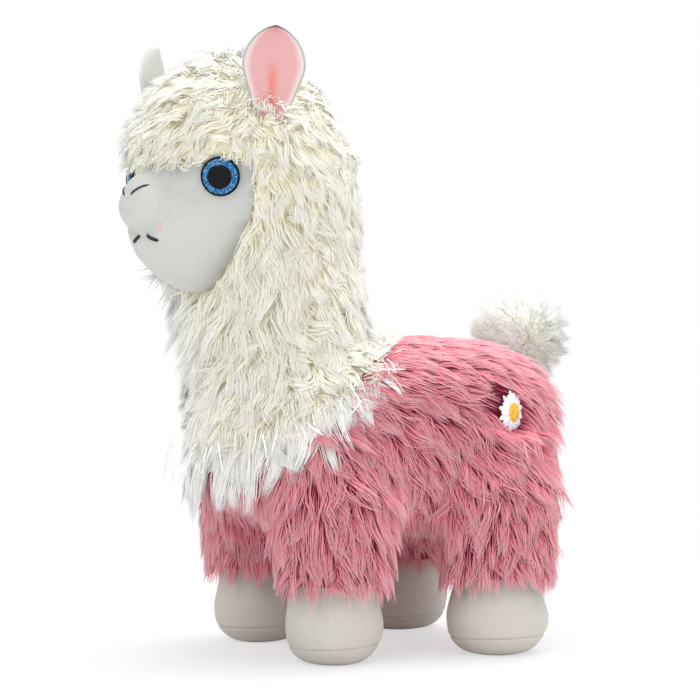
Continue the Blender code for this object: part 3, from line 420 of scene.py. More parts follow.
def spikes(lines, ways, width, shade, places):
    """A three-sided spike along each centre line, closed at root and tip; its half-width
    at s along it is width (1 - 0.78 s^2)."""
    count, rings = len(lines), len(places) - 1
    along = unit(np.gradient(lines, axis=1))
    side = unit(np.cross(along, ways[:, None]))
    up = np.cross(along, side)
    turns = np.radians((270, 30, 150))
    ring = (np.cos(turns)[:, None] * side[:, :rings, None]
            + np.sin(turns)[:, None] * up[:, :rings, None])
    girth = (1 - 0.78 * places[:rings] ** 2)[None, :, None, None]
    loops = lines[:, :rings, None] + ring * girth * np.asarray(width).reshape(-1, 1, 1, 1)
    points = np.concatenate([loops.reshape(count, 3 * rings, 3), lines[:, rings:]], 1)
    a = np.arange(3)
    b = (a + 1) % 3
    last = 3 * rings - 3
    pattern = []
    for base in range(0, last, 3):
        pattern += list(np.stack([base + a, base + b, base + 3 + b], -1))
        pattern += list(np.stack([base + a, base + 3 + b, base + 3 + a], -1))
    pattern += list(np.stack([last + a, last + b, np.full(3, last + 3)], -1))
    pattern.append(np.array((0, 2, 1)))
    faces = np.array(pattern)[None] + (last + 4) * np.arange(count)[:, None, None]
    run = np.concatenate([np.repeat(places[:rings], 3), places[rings:]])
    uv = np.stack(np.broadcast_arrays(np.asarray(shade)[:, None], run[None]), -1)
    return points.reshape(-1, 3), faces.reshape(-1, 3), uv.reshape(-1, 2)


def even(p, n):
    """The same lift and length everywhere."""
    return np.ones(len(p)), np.ones(len(p))


def locks(roots, ways, comb, look, dice, trim=even):
    """Strands gathered into locks: each strand bends from standing to lying, and is
    drawn towards its lock's own line, more so at the tip; curl swings it round that line.

    look gives length and its spread, lift at root and tip, lock pitch, droop, stray, pull,
    curl and its waves; trim gives factors on lift and length for each place."""
    seeds, seed_ways = thinned(roots, ways, look["pitch"])
    which = nearest(roots, seeds)
    places = look["places"]

    def lines(p, n, stray, reach):
        raised, cut = trim(p, n)
        lay = comb(p, n) + dice.normal(0, stray, p.shape)
        lay = unit(lay - n * (lay * n).sum(1, keepdims=True))
        lift = np.clip(look["lift"] * raised, 0, 0.95)[:, None]
        start = unit(n * lift + lay * (1 - lift))
        end = unit(n * look["tip_lift"] + lay + np.array((0, 0, -look["droop"])))
        return sweep(p - n * 0.0008, start, end, reach * cut, places)

    seed_length = look["length"] * dice.uniform(*look["spread"], len(seeds))
    middle = lines(seeds, seed_ways, look["stray"], seed_length)
    length = seed_length[which] * dice.uniform(0.72, 1.08, len(roots))
    own = lines(roots, ways, 0.6 * look["stray"], length)
    s = places[None, :, None]
    target = middle[which] + (roots - seeds[which])[:, None] * (1 - 0.75 * s)
    own = own + look["pull"] * s ** 1.2 * (target - own)
    if look["curl"]:
        phase = dice.uniform(0, 2 * math.pi, len(seeds))[which][:, None]
        phase = phase + dice.normal(0, 0.35, (len(roots), 1))
        axis = unit(dice.normal(0, 1, (len(seeds), 3)))[which]
        other = unit(np.cross(axis, ways))
        turn = 2 * math.pi * look["waves"] * places[None] + phase
        swing = np.sin(turn)[..., None] * other[:, None]
        swing = swing + np.cos(turn)[..., None] * np.cross(other, ways)[:, None]
        own = own + look["curl"] * s * (swing - swing[:, :1])
    lock_shade = dice.normal(0, 0.21, len(seeds))[which]
    return own, np.clip(0.5 + lock_shade + dice.normal(0, 0.2, len(roots)), 0, 1)


def pile_material(name, roots, middle, tips, shadow, pale, sheen, within):
    """Long pile: darker at the root, painted shade where the fibres are dense, light at the tip,
    and each fibre a little paler or deeper than the next. The share called within is given
    out as light, a painted glow: it stands for what real fibres, finer and far more, pass on to
    each other."""
    # painted glow: the Emission Strength called within makes the pile give out light
    finish, tree, shader = material(name, Roughness=0.8, Specular_IOR_Level=0.25,
                                    Sheen_Weight=sheen, Sheen_Roughness=0.6,
                                    Emission_Strength=within)
    pattern = add(tree, "ShaderNodeUVMap", {"uv_map": "pattern"})
    parts = add(tree, "ShaderNodeSeparateXYZ", Vector=pattern.outputs["UV"])
    # painted shade: each strand runs from the dark root colour, the shade deep in the pile, to
    # the light tip
    along = add(tree, "ShaderNodeValToRGB", {"stops": (
        (0.0, roots), (0.45, middle), (1.0, tips))}, Fac=parts.outputs["Y"]).outputs["Color"]
    vary = add(tree, "ShaderNodeValToRGB", {"stops": ((0.0, shadow), (1.0, pale))},
               Fac=parts.outputs["X"]).outputs["Color"]
    mixed = add(tree, "ShaderNodeMix", {"data_type": "RGBA", "blend_type": "MULTIPLY"},
                _0=1.0, _6=along, _7=vary)
    tree.links.new(mixed.outputs[2], shader.inputs["Base Color"])
    # painted glow: the emitted light takes the pile's own colour
    tree.links.new(mixed.outputs[2], shader.inputs["Emission Color"])
    return finish


def widths(look, settings, count, dice):
    """Half-widths: the user's, times the cover's own share, and each strand's chance."""
    return look["width"] * settings.strand_width * dice.uniform(0.7, 1.25, count)


def pile_piece(name, lines, ways, width, shade, finish, look):
    """One piece of pile. Its shading normals lean to the backing's own way out, because
    light that enters real fibres leaves them softly on every side."""
    points, faces, uv = spikes(lines, ways, width, shade, look["places"])
    piece = mesh_object(name, points + SHIFT, faces, finish, uv)
    own = np.empty(len(points) * 3, dtype=np.float32)
    piece.data.vertices.foreach_get("normal", own)
    ways = np.repeat(ways, len(points) // len(lines), axis=0)
    leaning = unit(look["own_share"] * own.reshape(-1, 3) + ways)
    piece.data.normals_split_custom_set_from_vertices(leaning)
    return piece


def dress(piece, slot, *nodes):
    """Ride on the one body and hide the CAD nodes that the piece covers. The slot is not used.
    """
    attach(piece, "root")
    if nodes:
        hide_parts(*nodes)
    return piece


# Pink cover

def collar_offset(p):
    """Level distance from the neck's middle."""
    return np.hypot(p[:, 0], p[:, 1] - NECK_BASE_Y)


def body_comb(p, n):
    """The pile lies rearwards along the back, down and rearwards on the sides, and
    straight down on the legs and chest."""
    high = np.clip((p[:, 2] - 0.075) / 0.07, 0, 1)
    lay = np.zeros_like(p)
    lay[:, 0] = 0.35 * np.sign(p[:, 0]) * np.clip(n[:, 2], 0, 1)
    lay[:, 1] = 0.12 + 0.95 * high
    lay[:, 2] = -1.0 + 0.45 * high
    chest = np.clip((-0.05 - p[:, 1]) / 0.03, 0, 1)[:, None]
    return lay * (1 - chest) + np.array((0.0, -0.1, -1.0)) * chest


def pink_roots(p, n):
    """Roots everywhere but under the collar, the daisy, the tail and the hems."""
    free = p[:, 2] > HEM_HEIGHT + 0.0015
    free &= (collar_offset(p) > NECK_RADIUS - 0.002) | (p[:, 2] < 0.09)
    free &= ~((collar_offset(p) < NECK_RADIUS + 0.012) & (collar_rise(p) > -0.012))
    free &= np.linalg.norm(p - DAISY_MIDDLE - (0.002, 0, 0.002), axis=1) > DAISY_BARE
    free &= np.linalg.norm(p - TAIL_MIDDLE, axis=1) > 0.8 * TAIL_RADIUS
    return free & ~((n[:, 2] < -0.9) & (p[:, 2] < HEM_HEIGHT + 0.004))


BODY_LOOK = dict(pitch=0.0056, spread=(0.70, 1.20), lift=0.40, tip_lift=0.05, droop=0.22,
                 stray=0.34, pull=0.72, curl=0.0013, waves=0.9, places=STRAIGHT, width=0.68,
                 own_share=0.45)


def body_trim(p, n):
    """Shorter pile towards the hems, so that the feet show."""
    return np.ones(len(p)), np.interp(p[:, 2], (HEM_HEIGHT, 0.066), (0.55, 1.0))


def make_pink_pile(settings):
    """Pink strands in three pieces over a backing painted crimson as the shade deep in the pile.
    """
    dice = np.random.default_rng(11)
    # painted shade in the darker root colour; the last number, 0.06, is a painted glow
    finish = pile_material("acrylic long pile, pink", settings.pink_roots,
                           settings.pink_middle, settings.pink_tips, "E6DADD", "FFFFFF",
                           0.1, 0.06)
    look = dict(BODY_LOOK, length=settings.body_length)
    p, n = shell(body_depth, BODY_BOX, settings.body_strands, dice, pink_roots)
    lines, shade = locks(p, n, body_comb, look, dice, body_trim)
    keep = ~crosses_daisy(lines)
    lines, n, shade, p = lines[keep], n[keep], shade[keep], p[keep]
    width = widths(look, settings, len(lines), dice)
    low = p[:, 2] < 0.074
    parts = (("pink_pile_legs", low), ("pink_pile_front", ~low & (p[:, 1] < 0.0)),
             ("pink_pile_rear", ~low & (p[:, 1] >= 0.0)))
    for name, chosen in parts:
        piece = pile_piece(name, lines[chosen], n[chosen], width[chosen], shade[chosen],
                           finish, look)
        dress(piece, "pink_pile", "body_cover")
    # painted shade: the crimson 8A2F46 of the backing is the shade deep between the pink strands
    backing = closed_piece("pink_backing", body_forms(-BACKING_DEPTH), backing_material(
        "knitted pile backing, crimson painted shade", "8A2F46", "FDF8E4"))
    dress(backing, "pink_pile", "body_cover")


def crosses_daisy(lines):
    """True for strands whose outer part would lie over the embroidery."""
    facing = np.array((math.cos(DAISY_TURN), math.sin(DAISY_TURN), 0.0))
    off = lines[:, 1:] - DAISY_MIDDLE - (0.001, 0.0, 0.0)
    deep = off @ facing
    flat = np.linalg.norm(off - deep[..., None] * facing, axis=-1)
    return ((flat < DAISY_VIEW) & (lines[:, 1:, 0] > 0.03)).any(1)


def body_forms(lift):
    """Closed grids of trunk and sleeves at a height over the backing: rays are carried to
    the trunk's depth 0 by repeated small steps, and sleeves are rings about the leg."""
    ray = sphere(48, 72)[..., (0, 2, 1)]
    flat = ray.reshape(-1, 3)
    reach = np.full(len(flat), 0.06)
    for _ in range(30):
        depth = trunk_depth(TRUNK_MIDDLE + flat * reach[:, None])
        reach = reach - 0.7 * depth
    rings = (TRUNK_MIDDLE + flat * (reach + lift)[:, None]).reshape(ray.shape)
    parts = [closed_stack(rings)]
    around = circle(72)
    for _, x, y in LEGS:
        z = np.linspace(HEM_HEIGHT + 0.001, TRUNK_MIDDLE[2], 24)
        place, radius = leg_axis(x, z)
        wall = (radius + lift)[:, None]
        ring = np.stack([place[:, None] + wall * np.cos(around), y + wall * np.sin(around),
                         np.repeat(z[:, None], 72, 1)], -1)
        parts.append(closed_stack(ring))
    return joined(parts)


def backing_material(name, code, collar=None):
    """Knitted cloth that holds the pile: matt, with stitches drawn at about 1 mm. Where
    given, a second colour lies under the collar, within 50 mm of the neck's middle."""
    finish, tree, shader = material(name, Base_Color=linear(code), Roughness=0.95,
                                    Specular_IOR_Level=0.1)
    place = add(tree, "ShaderNodeTexCoord")
    if collar is not None:
        neck = np.array((0.0, NECK_BASE_Y, COLLAR_HEIGHT)) + SHIFT
        off = add(tree, "ShaderNodeVectorMath", {"operation": "DISTANCE"},
                  _0=place.outputs["Object"], _1=tuple(neck))
        share = add(tree, "ShaderNodeMath", {"operation": "MULTIPLY"},
                    _0=off.outputs["Value"], _1=10.0)
        tint = add(tree, "ShaderNodeValToRGB", {"stops": ((0.50, collar), (0.54, code))},
                   Fac=share.outputs[0]).outputs["Color"]
        tree.links.new(tint, shader.inputs["Base Color"])
    grain = add(tree, "ShaderNodeTexNoise", Vector=place.outputs["Object"], Scale=900.0)
    bump = add(tree, "ShaderNodeBump", Strength=0.3, Distance=0.0004,
               Height=grain.outputs["Fac"])
    tree.links.new(bump.outputs["Normal"], shader.inputs["Normal"])
    return finish


# Head and neck

def head_axes():
    """Left, forward and up of the turned head, in the pattern's frame."""
    c, s = math.cos(HEAD_YAW), math.sin(HEAD_YAW)
    return np.array(((c, s, 0.0), (s, -c, 0.0), (0.0, 0.0, 1.0)))


AXES = head_axes()


def to_head(p):
    """Left, forward and up from the head's middle."""
    return (p - HEAD_MIDDLE) @ AXES.T


def from_head(q):
    """Back from left, forward and up of the head's middle."""
    return HEAD_MIDDLE + q @ AXES


def face_edge(around):
    """Polar angle of the face panel's outline: level over the brow, oval at the cheeks."""
    up = np.sin(around)
    oval = 1 / np.sqrt((np.cos(around) / FACE_SIDE) ** 2 + (up / FACE_CHIN) ** 2)
    brow = np.arcsin(np.clip(math.sin(FACE_TOP) / np.maximum(up, 0.01), 0, 1))
    return (oval ** -8 + brow ** -8) ** (-1 / 8)


def face_angles(q):
    """Polar angle from straight ahead and the way round, seen from the face's middle,
    with the chin's taper taken back out."""
    ray = unit(q - FACE_EYE)
    ray[..., 0] /= 1 - CHIN_TAPER * np.clip(-ray[..., 2], 0, 1)
    ray = unit(ray)
    return np.arccos(np.clip(ray[..., 1], -1, 1)), np.arctan2(ray[..., 2], ray[..., 0])


def pinched(rays):
    """Rays drawn in sideways the more they point down, so that the chin tapers."""
    narrow = rays.copy()
    narrow[..., 0] *= 1 - CHIN_TAPER * np.clip(-rays[..., 2], 0, 1)
    return narrow


def on_face(p, margin=0.0):
    """True within the face panel's outline, let out by a margin in radians."""
    q = to_head(p)
    polar, around = face_angles(q)
    return polar < face_edge(around) + margin


def eye_place(side):
    """Middle of an eye on the face and the way it looks, in the pattern's frame."""
    forward = math.sqrt(FACE_BALL ** 2 - EYE_SIDE ** 2 - EYE_HEIGHT ** 2)
    look = np.array((side * EYE_SIDE, forward, EYE_HEIGHT))
    aim = unit(look - FACE_EYE)
    spot = FACE_EYE + aim * face_reach(aim[None])[0]
    return from_head(spot), unit(look) @ AXES


def face_reach(rays):
    """Distance from the face's middle to its surface: ball of the head and ellipsoid of
    the muzzle in a power mean, a soft bump as bridge, and exp(-(angle / width)^4) as nose."""
    def leave(middle, half):
        a = rays / half
        b = (FACE_EYE - middle) / half
        aa = (a * a).sum(-1)
        ab = (a * b).sum(-1)
        return (-ab + np.sqrt(np.maximum(ab * ab - aa * ((b * b).sum() - 1), 1e-12))) / aa

    ball = leave(np.zeros(3), np.full(3, FACE_BALL))
    muzzle = leave(MUZZLE_MIDDLE, MUZZLE_HALF)
    reach = (ball ** 14 + muzzle ** 14) ** (1 / 14)
    off = np.arccos(np.clip(rays @ unit(np.array((0.0, 0.047, 0.0245))), -1, 1))
    reach = reach + BRIDGE_STAND * np.exp(-(off / 0.27) ** 2)
    return reach + NOSE_STAND * np.exp(-from_nose(rays) ** 4)


def from_nose(rays):
    """Angle of a ray from the nose's middle, 1 at the nose's edge."""
    nose = unit(np.array((0.0, MUZZLE_FRONT, NOSE_RISE)))
    return np.arccos(np.clip(rays @ nose, -1, 1)) * MUZZLE_FRONT / NOSE_RADIUS


def clear_of_eyes(lines):
    """True for strands that keep out of the view of either eye, but for its top edge."""
    free = np.ones(len(lines), bool)
    for side in (1, -1):
        middle, look = eye_place(side)
        off = lines[:, 1:] - middle + np.array((0.0, 0.0, 0.0018))
        deep = off @ look
        flat = np.linalg.norm(off - deep[..., None] * look, axis=-1)
        free &= ~((flat < EYE_VIEW) & (deep > -0.002)).any(1)
    return free


def clear_of_face(lines):
    """True for strands that stay off the face panel, but for a fringe over its brow."""
    tips = to_head(lines[:, 1:])
    polar, around = face_angles(tips)
    reach = np.linalg.norm(tips - FACE_EYE, axis=-1)
    fringe = np.where(np.sin(around) > 0.45, 0.22, 0.15)
    inside = polar < face_edge(around) - fringe
    return ~(inside & (reach < 0.085)).any(1)


def head_comb(p, n):
    """Crown pile runs forward and sideways, cheeks sweep back and down, neck hangs."""
    q = to_head(p)
    crown = np.clip((q[:, 2] - 0.012) / 0.03, 0, 1)[:, None]
    away = unit(np.stack([q[:, 0], q[:, 1] + 0.012, np.zeros(len(q))], -1)) @ AXES
    ahead = 0.6 * np.clip((-0.075 - p[:, 1]) / 0.02, 0, 1)[:, None]
    cheek = np.array((0.0, 0.10, -1.0)) - ahead * np.array((0.0, 1.0, 0.0))
    return away * crown + cheek * (1 - crown)


def cream_roots(p, n):
    """Roots on head and neck but for face, eyes, ear seams and collar."""
    free = ~on_face(p, -0.03) | (to_head(p)[:, 1] < -0.012) | (p[:, 2] < 0.172)
    free &= collar_rise(p) > -0.002
    for side in (1, -1):
        middle, _ = eye_place(side)
        free &= np.linalg.norm(p - middle, axis=1) > 0.0085
        root = from_head(np.array((side * EAR_SIDE, EAR_FORWARD, EAR_BASE)))
        off = p - root
        free &= ~((np.linalg.norm(off[:, :2], axis=1) < 0.0015) & (off[:, 2] > -0.002))
    return free


HEAD_LOOK = dict(pitch=0.0062, spread=(0.75, 1.2), lift=0.58, tip_lift=0.28, droop=0.12,
                 stray=0.60, pull=0.66, curl=0.0022, waves=0.8, places=BENT, width=0.62,
                 own_share=0.25)


def head_trim(p, n):
    """Fullest pile on the throat, less down the neck's front, and short along the brow
    and high on the nape."""
    throat = np.interp(p[:, 2], (0.115, 0.145, 0.170, 0.195, 0.215),
                       (0.15, 0.45, 1.35, 1.35, 0.0))
    front = np.clip(0.35 - n[:, 1] - 0.3 * n[:, 2], 0, 1) * throat
    front = front * (p[:, 1] < -0.060)
    polar, around = face_angles(to_head(p))
    past = polar - face_edge(around)
    brow = np.where(np.sin(around) > 0.3, np.clip(0.50 + past / 0.5, 0.50, 1.0), 1.0)
    nape = 1 - 0.65 * np.clip(n[:, 1], 0, 1) * np.clip((p[:, 2] - 0.215) / 0.02, 0, 1)
    cut = nape * np.where((p[:, 1] < -0.075) & (p[:, 2] > 0.215), brow, 1.0)
    return 1 + 0.35 * front, (1 + 0.85 * front) * cut


def bib_roots(p, n):
    """Roots of the cream pile that lies over the shoulders, above the collar."""
    rise = collar_rise(p)
    return (collar_offset(p) < NECK_RADIUS + 0.016) & (rise > -0.010) & (rise < 0.022)


def make_cream_pile(settings):
    """Cream strands in three pieces over a cream backing."""
    dice = np.random.default_rng(12)
    # painted shade in the warmer root colour; the last number, 0.17, is a painted glow
    finish = pile_material("acrylic curly pile, cream", settings.cream_roots,
                           settings.cream_middle, settings.cream_tips, "FEFDF6", "FFFFFF",
                           0.8, 0.17)
    look = dict(HEAD_LOOK, length=settings.head_length)
    p, n = shell(head_depth, HEAD_BOX, settings.head_strands, dice, cream_roots)
    bib, bib_ways = shell(whole_depth, COLLAR_BOX, settings.bib_strands, dice, bib_roots)
    p, n = np.concatenate([p, bib]), np.concatenate([n, bib_ways])
    lines, shade = locks(p, n, head_comb, look, dice, head_trim)
    keep = clear_of_eyes(lines) & clear_of_face(lines)
    lines, n, shade, p = lines[keep], n[keep], shade[keep], p[keep]
    width = widths(look, settings, len(lines), dice)
    high = p[:, 2] > 0.232
    low = p[:, 2] < 0.178
    for name, chosen in (("cream_pile_crown", high), ("cream_pile_cheeks", ~high & ~low),
                         ("cream_pile_neck", low)):
        piece = pile_piece(name, lines[chosen], n[chosen], width[chosen], shade[chosen],
                           finish, look)
        dress(piece, "cream_pile", "head_neck_cover")
    backing = closed_piece("cream_backing", head_forms(-BACKING_DEPTH), backing_material(
        "knitted pile backing, cream", "FDF8E4"))
    dress(backing, "cream_pile", "head_neck_cover")


def head_forms(lift):
    """Closed grids of the head's ball and the neck's tube at a height over the backing,
    both sunk in where the face panel covers them."""
    ball = sphere(40, 64) * (HEAD_RADIUS + lift)
    angle, way = face_angles(ball @ AXES.T)
    sunk = np.where(angle < face_edge(way) + 0.05, 0.90, 1.0)
    parts = [closed_stack(HEAD_MIDDLE + ball * sunk[..., None])]
    around = circle(64)
    z = np.linspace(NECK_BASE + 0.01, HEAD_MIDDLE[2], 30)
    ring = np.stack([(NECK_RADIUS + lift) * np.cos(around) * np.ones((30, 1)),
                     neck_axis(z)[:, None] + (NECK_RADIUS + lift) * np.sin(around),
                     np.repeat(z[:, None], 64, 1)], -1)
    q = to_head(ring)
    angle, way = face_angles(q)
    middle = np.stack([np.zeros(30), neck_axis(z), z], -1)[:, None]
    sunk = np.where((angle < face_edge(way) + 0.05) & (q[..., 1] > 0), 0.8, 1.0)[..., None]
    parts.append(closed_stack(middle + (ring - middle) * sunk))
    return joined(parts)


# Collar

RUFF_LOOK = dict(pitch=0.0072, spread=(0.35, 1.5), lift=0.30, tip_lift=0.08, droop=0.32,
                 stray=0.38, pull=0.84, curl=0.0008, waves=0.6, places=CURLY, width=0.55,
                 own_share=0.25)


def ruff_comb(p, n):
    """The collar hangs down, a quarter outwards."""
    out = unit(np.stack([p[:, 0], p[:, 1] - NECK_BASE_Y, np.zeros(len(p))], -1))
    return out * 0.25 + np.array((0.0, 0.0, -1.0))


def ruff_roots(p, n):
    """Roots in a band just under the slanting collar seam."""
    rise = collar_rise(p)
    near = collar_offset(p) < NECK_RADIUS + 0.020
    return near & (rise > -0.015) & (rise < -0.006)


def ruff_trim(p, n):
    """Long in front, short where the collar meets the back."""
    cut = np.interp(p[:, 1], (-0.085, -0.045, -0.012), (1.0, 0.8, 0.4))
    return np.ones(len(p)), cut


def make_ruff(settings):
    """White strands of the collar, rooted 1 mm over the cover."""
    dice = np.random.default_rng(13)
    # painted shade in the slightly darker roots FAF7EE; the last number, 0.12, is a painted glow
    finish = pile_material("acrylic long pile, white", "FAF7EE", "FEFDFA", "FFFFFF",
                           "F8F7F4", "FFFFFF", 0.8, 0.12)
    look = dict(RUFF_LOOK, length=settings.ruff_length)
    p, n = shell(whole_depth, COLLAR_BOX, settings.ruff_strands, dice, ruff_roots)
    lines, shade = locks(p + 0.001 * n, n, ruff_comb, look, dice, ruff_trim)
    width = widths(look, settings, len(lines), dice)
    piece = pile_piece("white_ruff", lines, n, width, shade, finish, look)
    dress(piece, "white_long_pile", "neck_ruff")


# Tail

TAIL_LOOK = dict(pitch=0.0052, spread=(0.75, 1.2), length=0.0122, lift=0.90, tip_lift=1.2,
                 droop=0.10, stray=0.45, pull=0.55, curl=0.0010, waves=0.7, places=BENT,
                 width=0.6, own_share=0.25)


def tail_comb(p, n):
    """Pile runs round a slanting axis, so that the pompom looks ruffled."""
    return np.cross(n, np.array((0.3, 0.4, 0.86)))


def make_tail(settings):
    """The pompom: curled strands on a ball 1 mm under their roots."""
    dice = np.random.default_rng(14)
    # painted shade in the warmer roots FEFAEC; the last number, 0.15, is a painted glow
    finish = pile_material("acrylic curly pile, pale cream", "FEFAEC", "FFFEF8", "FFFFFF",
                           "FEFDF8", "FFFFFF", 0.8, 0.15)
    p, n = shell(tail_depth, TAIL_BOX, settings.tail_strands, dice,
                 lambda p, n: body_depth(p) > 0.001)
    lines, shade = locks(p, n, tail_comb, TAIL_LOOK, dice)
    width = widths(TAIL_LOOK, settings, len(lines), dice)
    piece = pile_piece("tail_pile", lines, n, width, shade, finish, TAIL_LOOK)
    dress(piece, "cream_pile", "tail_cover")
    rings = POMPOM_MIDDLE + sphere(30, 48, 0.03) * (POMPOM_RADIUS - 0.001)
    backing = closed_piece("tail_backing", closed_stack(rings), backing_material(
        "knitted pile backing, tail", "FDF8E4"))
    dress(backing, "cream_pile", "tail_cover")


# Stage

def make_stage(settings):
    """Camera at the photograph's angle, three soft lamps, room light and floor."""
    scene = bpy.context.scene
    scene.view_settings.view_transform = "Standard"
    scene.cycles.diffuse_bounces = 12  # light is scattered many times between fibres
    # lens, shift and place are fitted to the photograph
    camera = bpy.data.cameras.new("camera")
    camera.lens = 105.8
    camera.sensor_width = 36.0
    camera.shift_x = -0.0329
    camera.shift_y = -0.0143
    rig = bpy.data.objects.new("camera", camera)
    rig.location = np.array((0.9145, -0.4763, 0.1525)) + SHIFT
    rig.rotation_euler = (math.radians(90), 0.0, math.radians(62.5))
    bpy.context.collection.objects.link(rig)
    scene.camera = rig
    for name, place, size, power in (
            ("key", (0.75, -1.25, 1.25), 1.1, settings.key_power),
            ("fill", (1.5, 0.45, 0.7), 1.3, settings.fill_power),
            ("top", (-0.1, 0.3, 1.6), 1.2, settings.top_power)):
        lamp = bpy.data.lights.new(name, "AREA")
        lamp.size = size
        lamp.energy = power
        holder = bpy.data.objects.new(name, lamp)
        holder.location = place
        aim = np.array((0.0, 0.0, 0.14)) - np.array(place)
        holder.rotation_euler = Vector(aim).to_track_quat("-Z", "Y").to_euler()
        bpy.context.collection.objects.link(holder)
    world = bpy.data.worlds.new("studio")
    world.use_nodes = True
    scene.world = world
    tree = world.node_tree
    tree.nodes.clear()
    room = add(tree, "ShaderNodeBackground", Color=linear("FFFFFF"),
               Strength=settings.room_light)
    white = add(tree, "ShaderNodeBackground", Color=linear("FFFFFF"), Strength=1.0)
    mix = add(tree, "ShaderNodeMixShader", _0=seen_directly(tree),
              _1=room.outputs[0], _2=white.outputs[0])
    out = add(tree, "ShaderNodeOutputWorld")
    tree.links.new(mix.outputs[0], out.inputs["Surface"])
    make_floor()


def seen_directly(tree):
    """1 for rays from the camera, off gloss or through glass, which see a white backdrop."""
    path = add(tree, "ShaderNodeLightPath").outputs
    either = add(tree, "ShaderNodeMath", {"operation": "MAXIMUM"},
                 _0=path["Is Camera Ray"], _1=path["Is Glossy Ray"])
    return add(tree, "ShaderNodeMath", {"operation": "MAXIMUM"},
               _0=either.outputs[0], _1=path["Is Transmission Ray"]).outputs[0]


def make_floor():
    """A round floor whose colour runs out to the white of the backdrop."""
    around = circle(96)
    reach = np.array((0.0001, 0.2, 0.5, 1.0, 2.0, 3.0))[:, None]
    rings = np.stack([reach * np.cos(around), reach * np.sin(around),
                      np.zeros((6, 96))], -1)
    # matt paint: no gloss, so that only the object's shadow shows on it
    finish, tree, shader = material("painted studio floor", Base_Color=linear("F4F4F4"),
                                    Roughness=0.8, Specular_IOR_Level=0.2)
    place = add(tree, "ShaderNodeTexCoord")
    radius = add(tree, "ShaderNodeVectorMath", {"operation": "LENGTH"},
                 _0=place.outputs["Object"])
    far = add(tree, "ShaderNodeMapRange", _0=radius.outputs["Value"], _1=0.12, _2=0.42,
              _3=0.55, _4=1.0)
    share = add(tree, "ShaderNodeMath", {"operation": "MULTIPLY"},
                _0=far.outputs[0], _1=seen_directly(tree))
    white = add(tree, "ShaderNodeEmission", Color=linear("FFFFFF"), Strength=1.0)
    mix = add(tree, "ShaderNodeMixShader", _0=share.outputs[0],
              _1=shader.outputs[0], _2=white.outputs[0])
    out = tree.nodes["Material Output"]
    tree.links.new(mix.outputs[0], out.inputs["Surface"])
    points, faces = closed_stack(rings)
    count = 5 * 96 * 2
    floor = mesh_object("studio_floor", points, faces[:count], finish, smooth=False)


# Face

def face_spots(rays, lift):
    """Places on the face along unit rays, in the pattern's frame; soft stuffing makes it
    swell by tenths of a millimetre, thread pulls two dimples in beside the nose, and a
    crease runs round the nose's lower edge."""
    reach = face_reach(rays)
    reach = reach + 0.00022 * np.sin(rays[..., 0] * 17 + 1) * np.sin(rays[..., 2] * 19 + 2)
    for side in (1, -1):
        dimple = unit(np.array((side * 0.0185, 0.0455, -0.0005)))
        off = np.arccos(np.clip(rays @ dimple, -1, 1))
        reach = reach - 0.0014 * np.exp(-(off / 0.075) ** 2)
    below = np.clip(0.9 - 3.0 * (rays[..., 2] - 0.12), 0, 1)
    crease = np.exp(-((from_nose(rays) - 1.20) / 0.18) ** 2)
    reach = reach - 0.0020 * crease * below
    return from_head(FACE_EYE + pinched(rays) * (reach + lift)[..., None])


def face_rays(polar, around):
    """Unit rays at polar angles from straight ahead and ways round it."""
    side = np.sin(polar)
    return np.stack([side * np.cos(around), np.cos(polar) + 0 * around,
                     side * np.sin(around)], -1)


def short_pile(name, code, deep, blush=None):
    """Short-pile velour: a matt cloth whose mottle shows where the nap turns; the grain
    is drawn at about half a millimetre, coarser than its fibres, so that it shows."""
    finish, tree, shader = material(name, Roughness=0.95, Specular_IOR_Level=0.15,
                                    Sheen_Weight=0.15, Sheen_Roughness=0.5)
    place = add(tree, "ShaderNodeTexCoord")
    where = place.outputs["Object"]
    mottle = add(tree, "ShaderNodeTexNoise", Vector=where, Scale=420.0, Detail=4.0)
    tint = add(tree, "ShaderNodeValToRGB", {"stops": ((0.2, deep), (0.75, code))},
               Fac=mottle.outputs["Fac"]).outputs["Color"]
    if blush is not None:
        off = add(tree, "ShaderNodeVectorMath", {"operation": "DISTANCE"}, _0=where,
                  _1=tuple(blush))
        near = add(tree, "ShaderNodeMath", {"operation": "MULTIPLY"},
                   _0=off.outputs["Value"], _1=200.0)
        share = add(tree, "ShaderNodeValToRGB", {"stops": (
            (0.10, "C8C8C8"), (0.50, "000000"))}, Fac=near.outputs[0]).outputs["Color"]
        stain = add(tree, "ShaderNodeMix", {"data_type": "RGBA"}, _0=share, _6=tint,
                    _7=linear("F0AFAA"))
        tint = stain.outputs[2]
    tree.links.new(tint, shader.inputs["Base Color"])
    fine = add(tree, "ShaderNodeTexNoise", Vector=where, Scale=1300.0, Detail=3.0)
    bump = add(tree, "ShaderNodeBump", Strength=0.35, Distance=0.00022,
               Height=fine.outputs["Fac"])
    tree.links.new(bump.outputs["Normal"], shader.inputs["Normal"])
    return finish


def make_face(settings):
    """Rays from the middle out to the panel's edge, and back at a cloth's depth."""
    around = circle(160)
    share = np.linspace(0.008, 1, 66)[:, None]
    rays = face_rays(face_edge(around) * share, around)
    outer = face_spots(rays, 0.0)
    inner = face_spots(rays[::-6], -CLOTH)
    blush = from_head(np.array((0.0118, 0.0555, -0.0310))) + SHIFT
    finish = short_pile("velour, white, face", settings.cloth_colour, "C2C4C0", blush)
    piece = closed_piece("white_face", closed_stack(np.concatenate([outer, inner])), finish)
    dress(piece, "white_short_pile", "face_panel")


# Feet

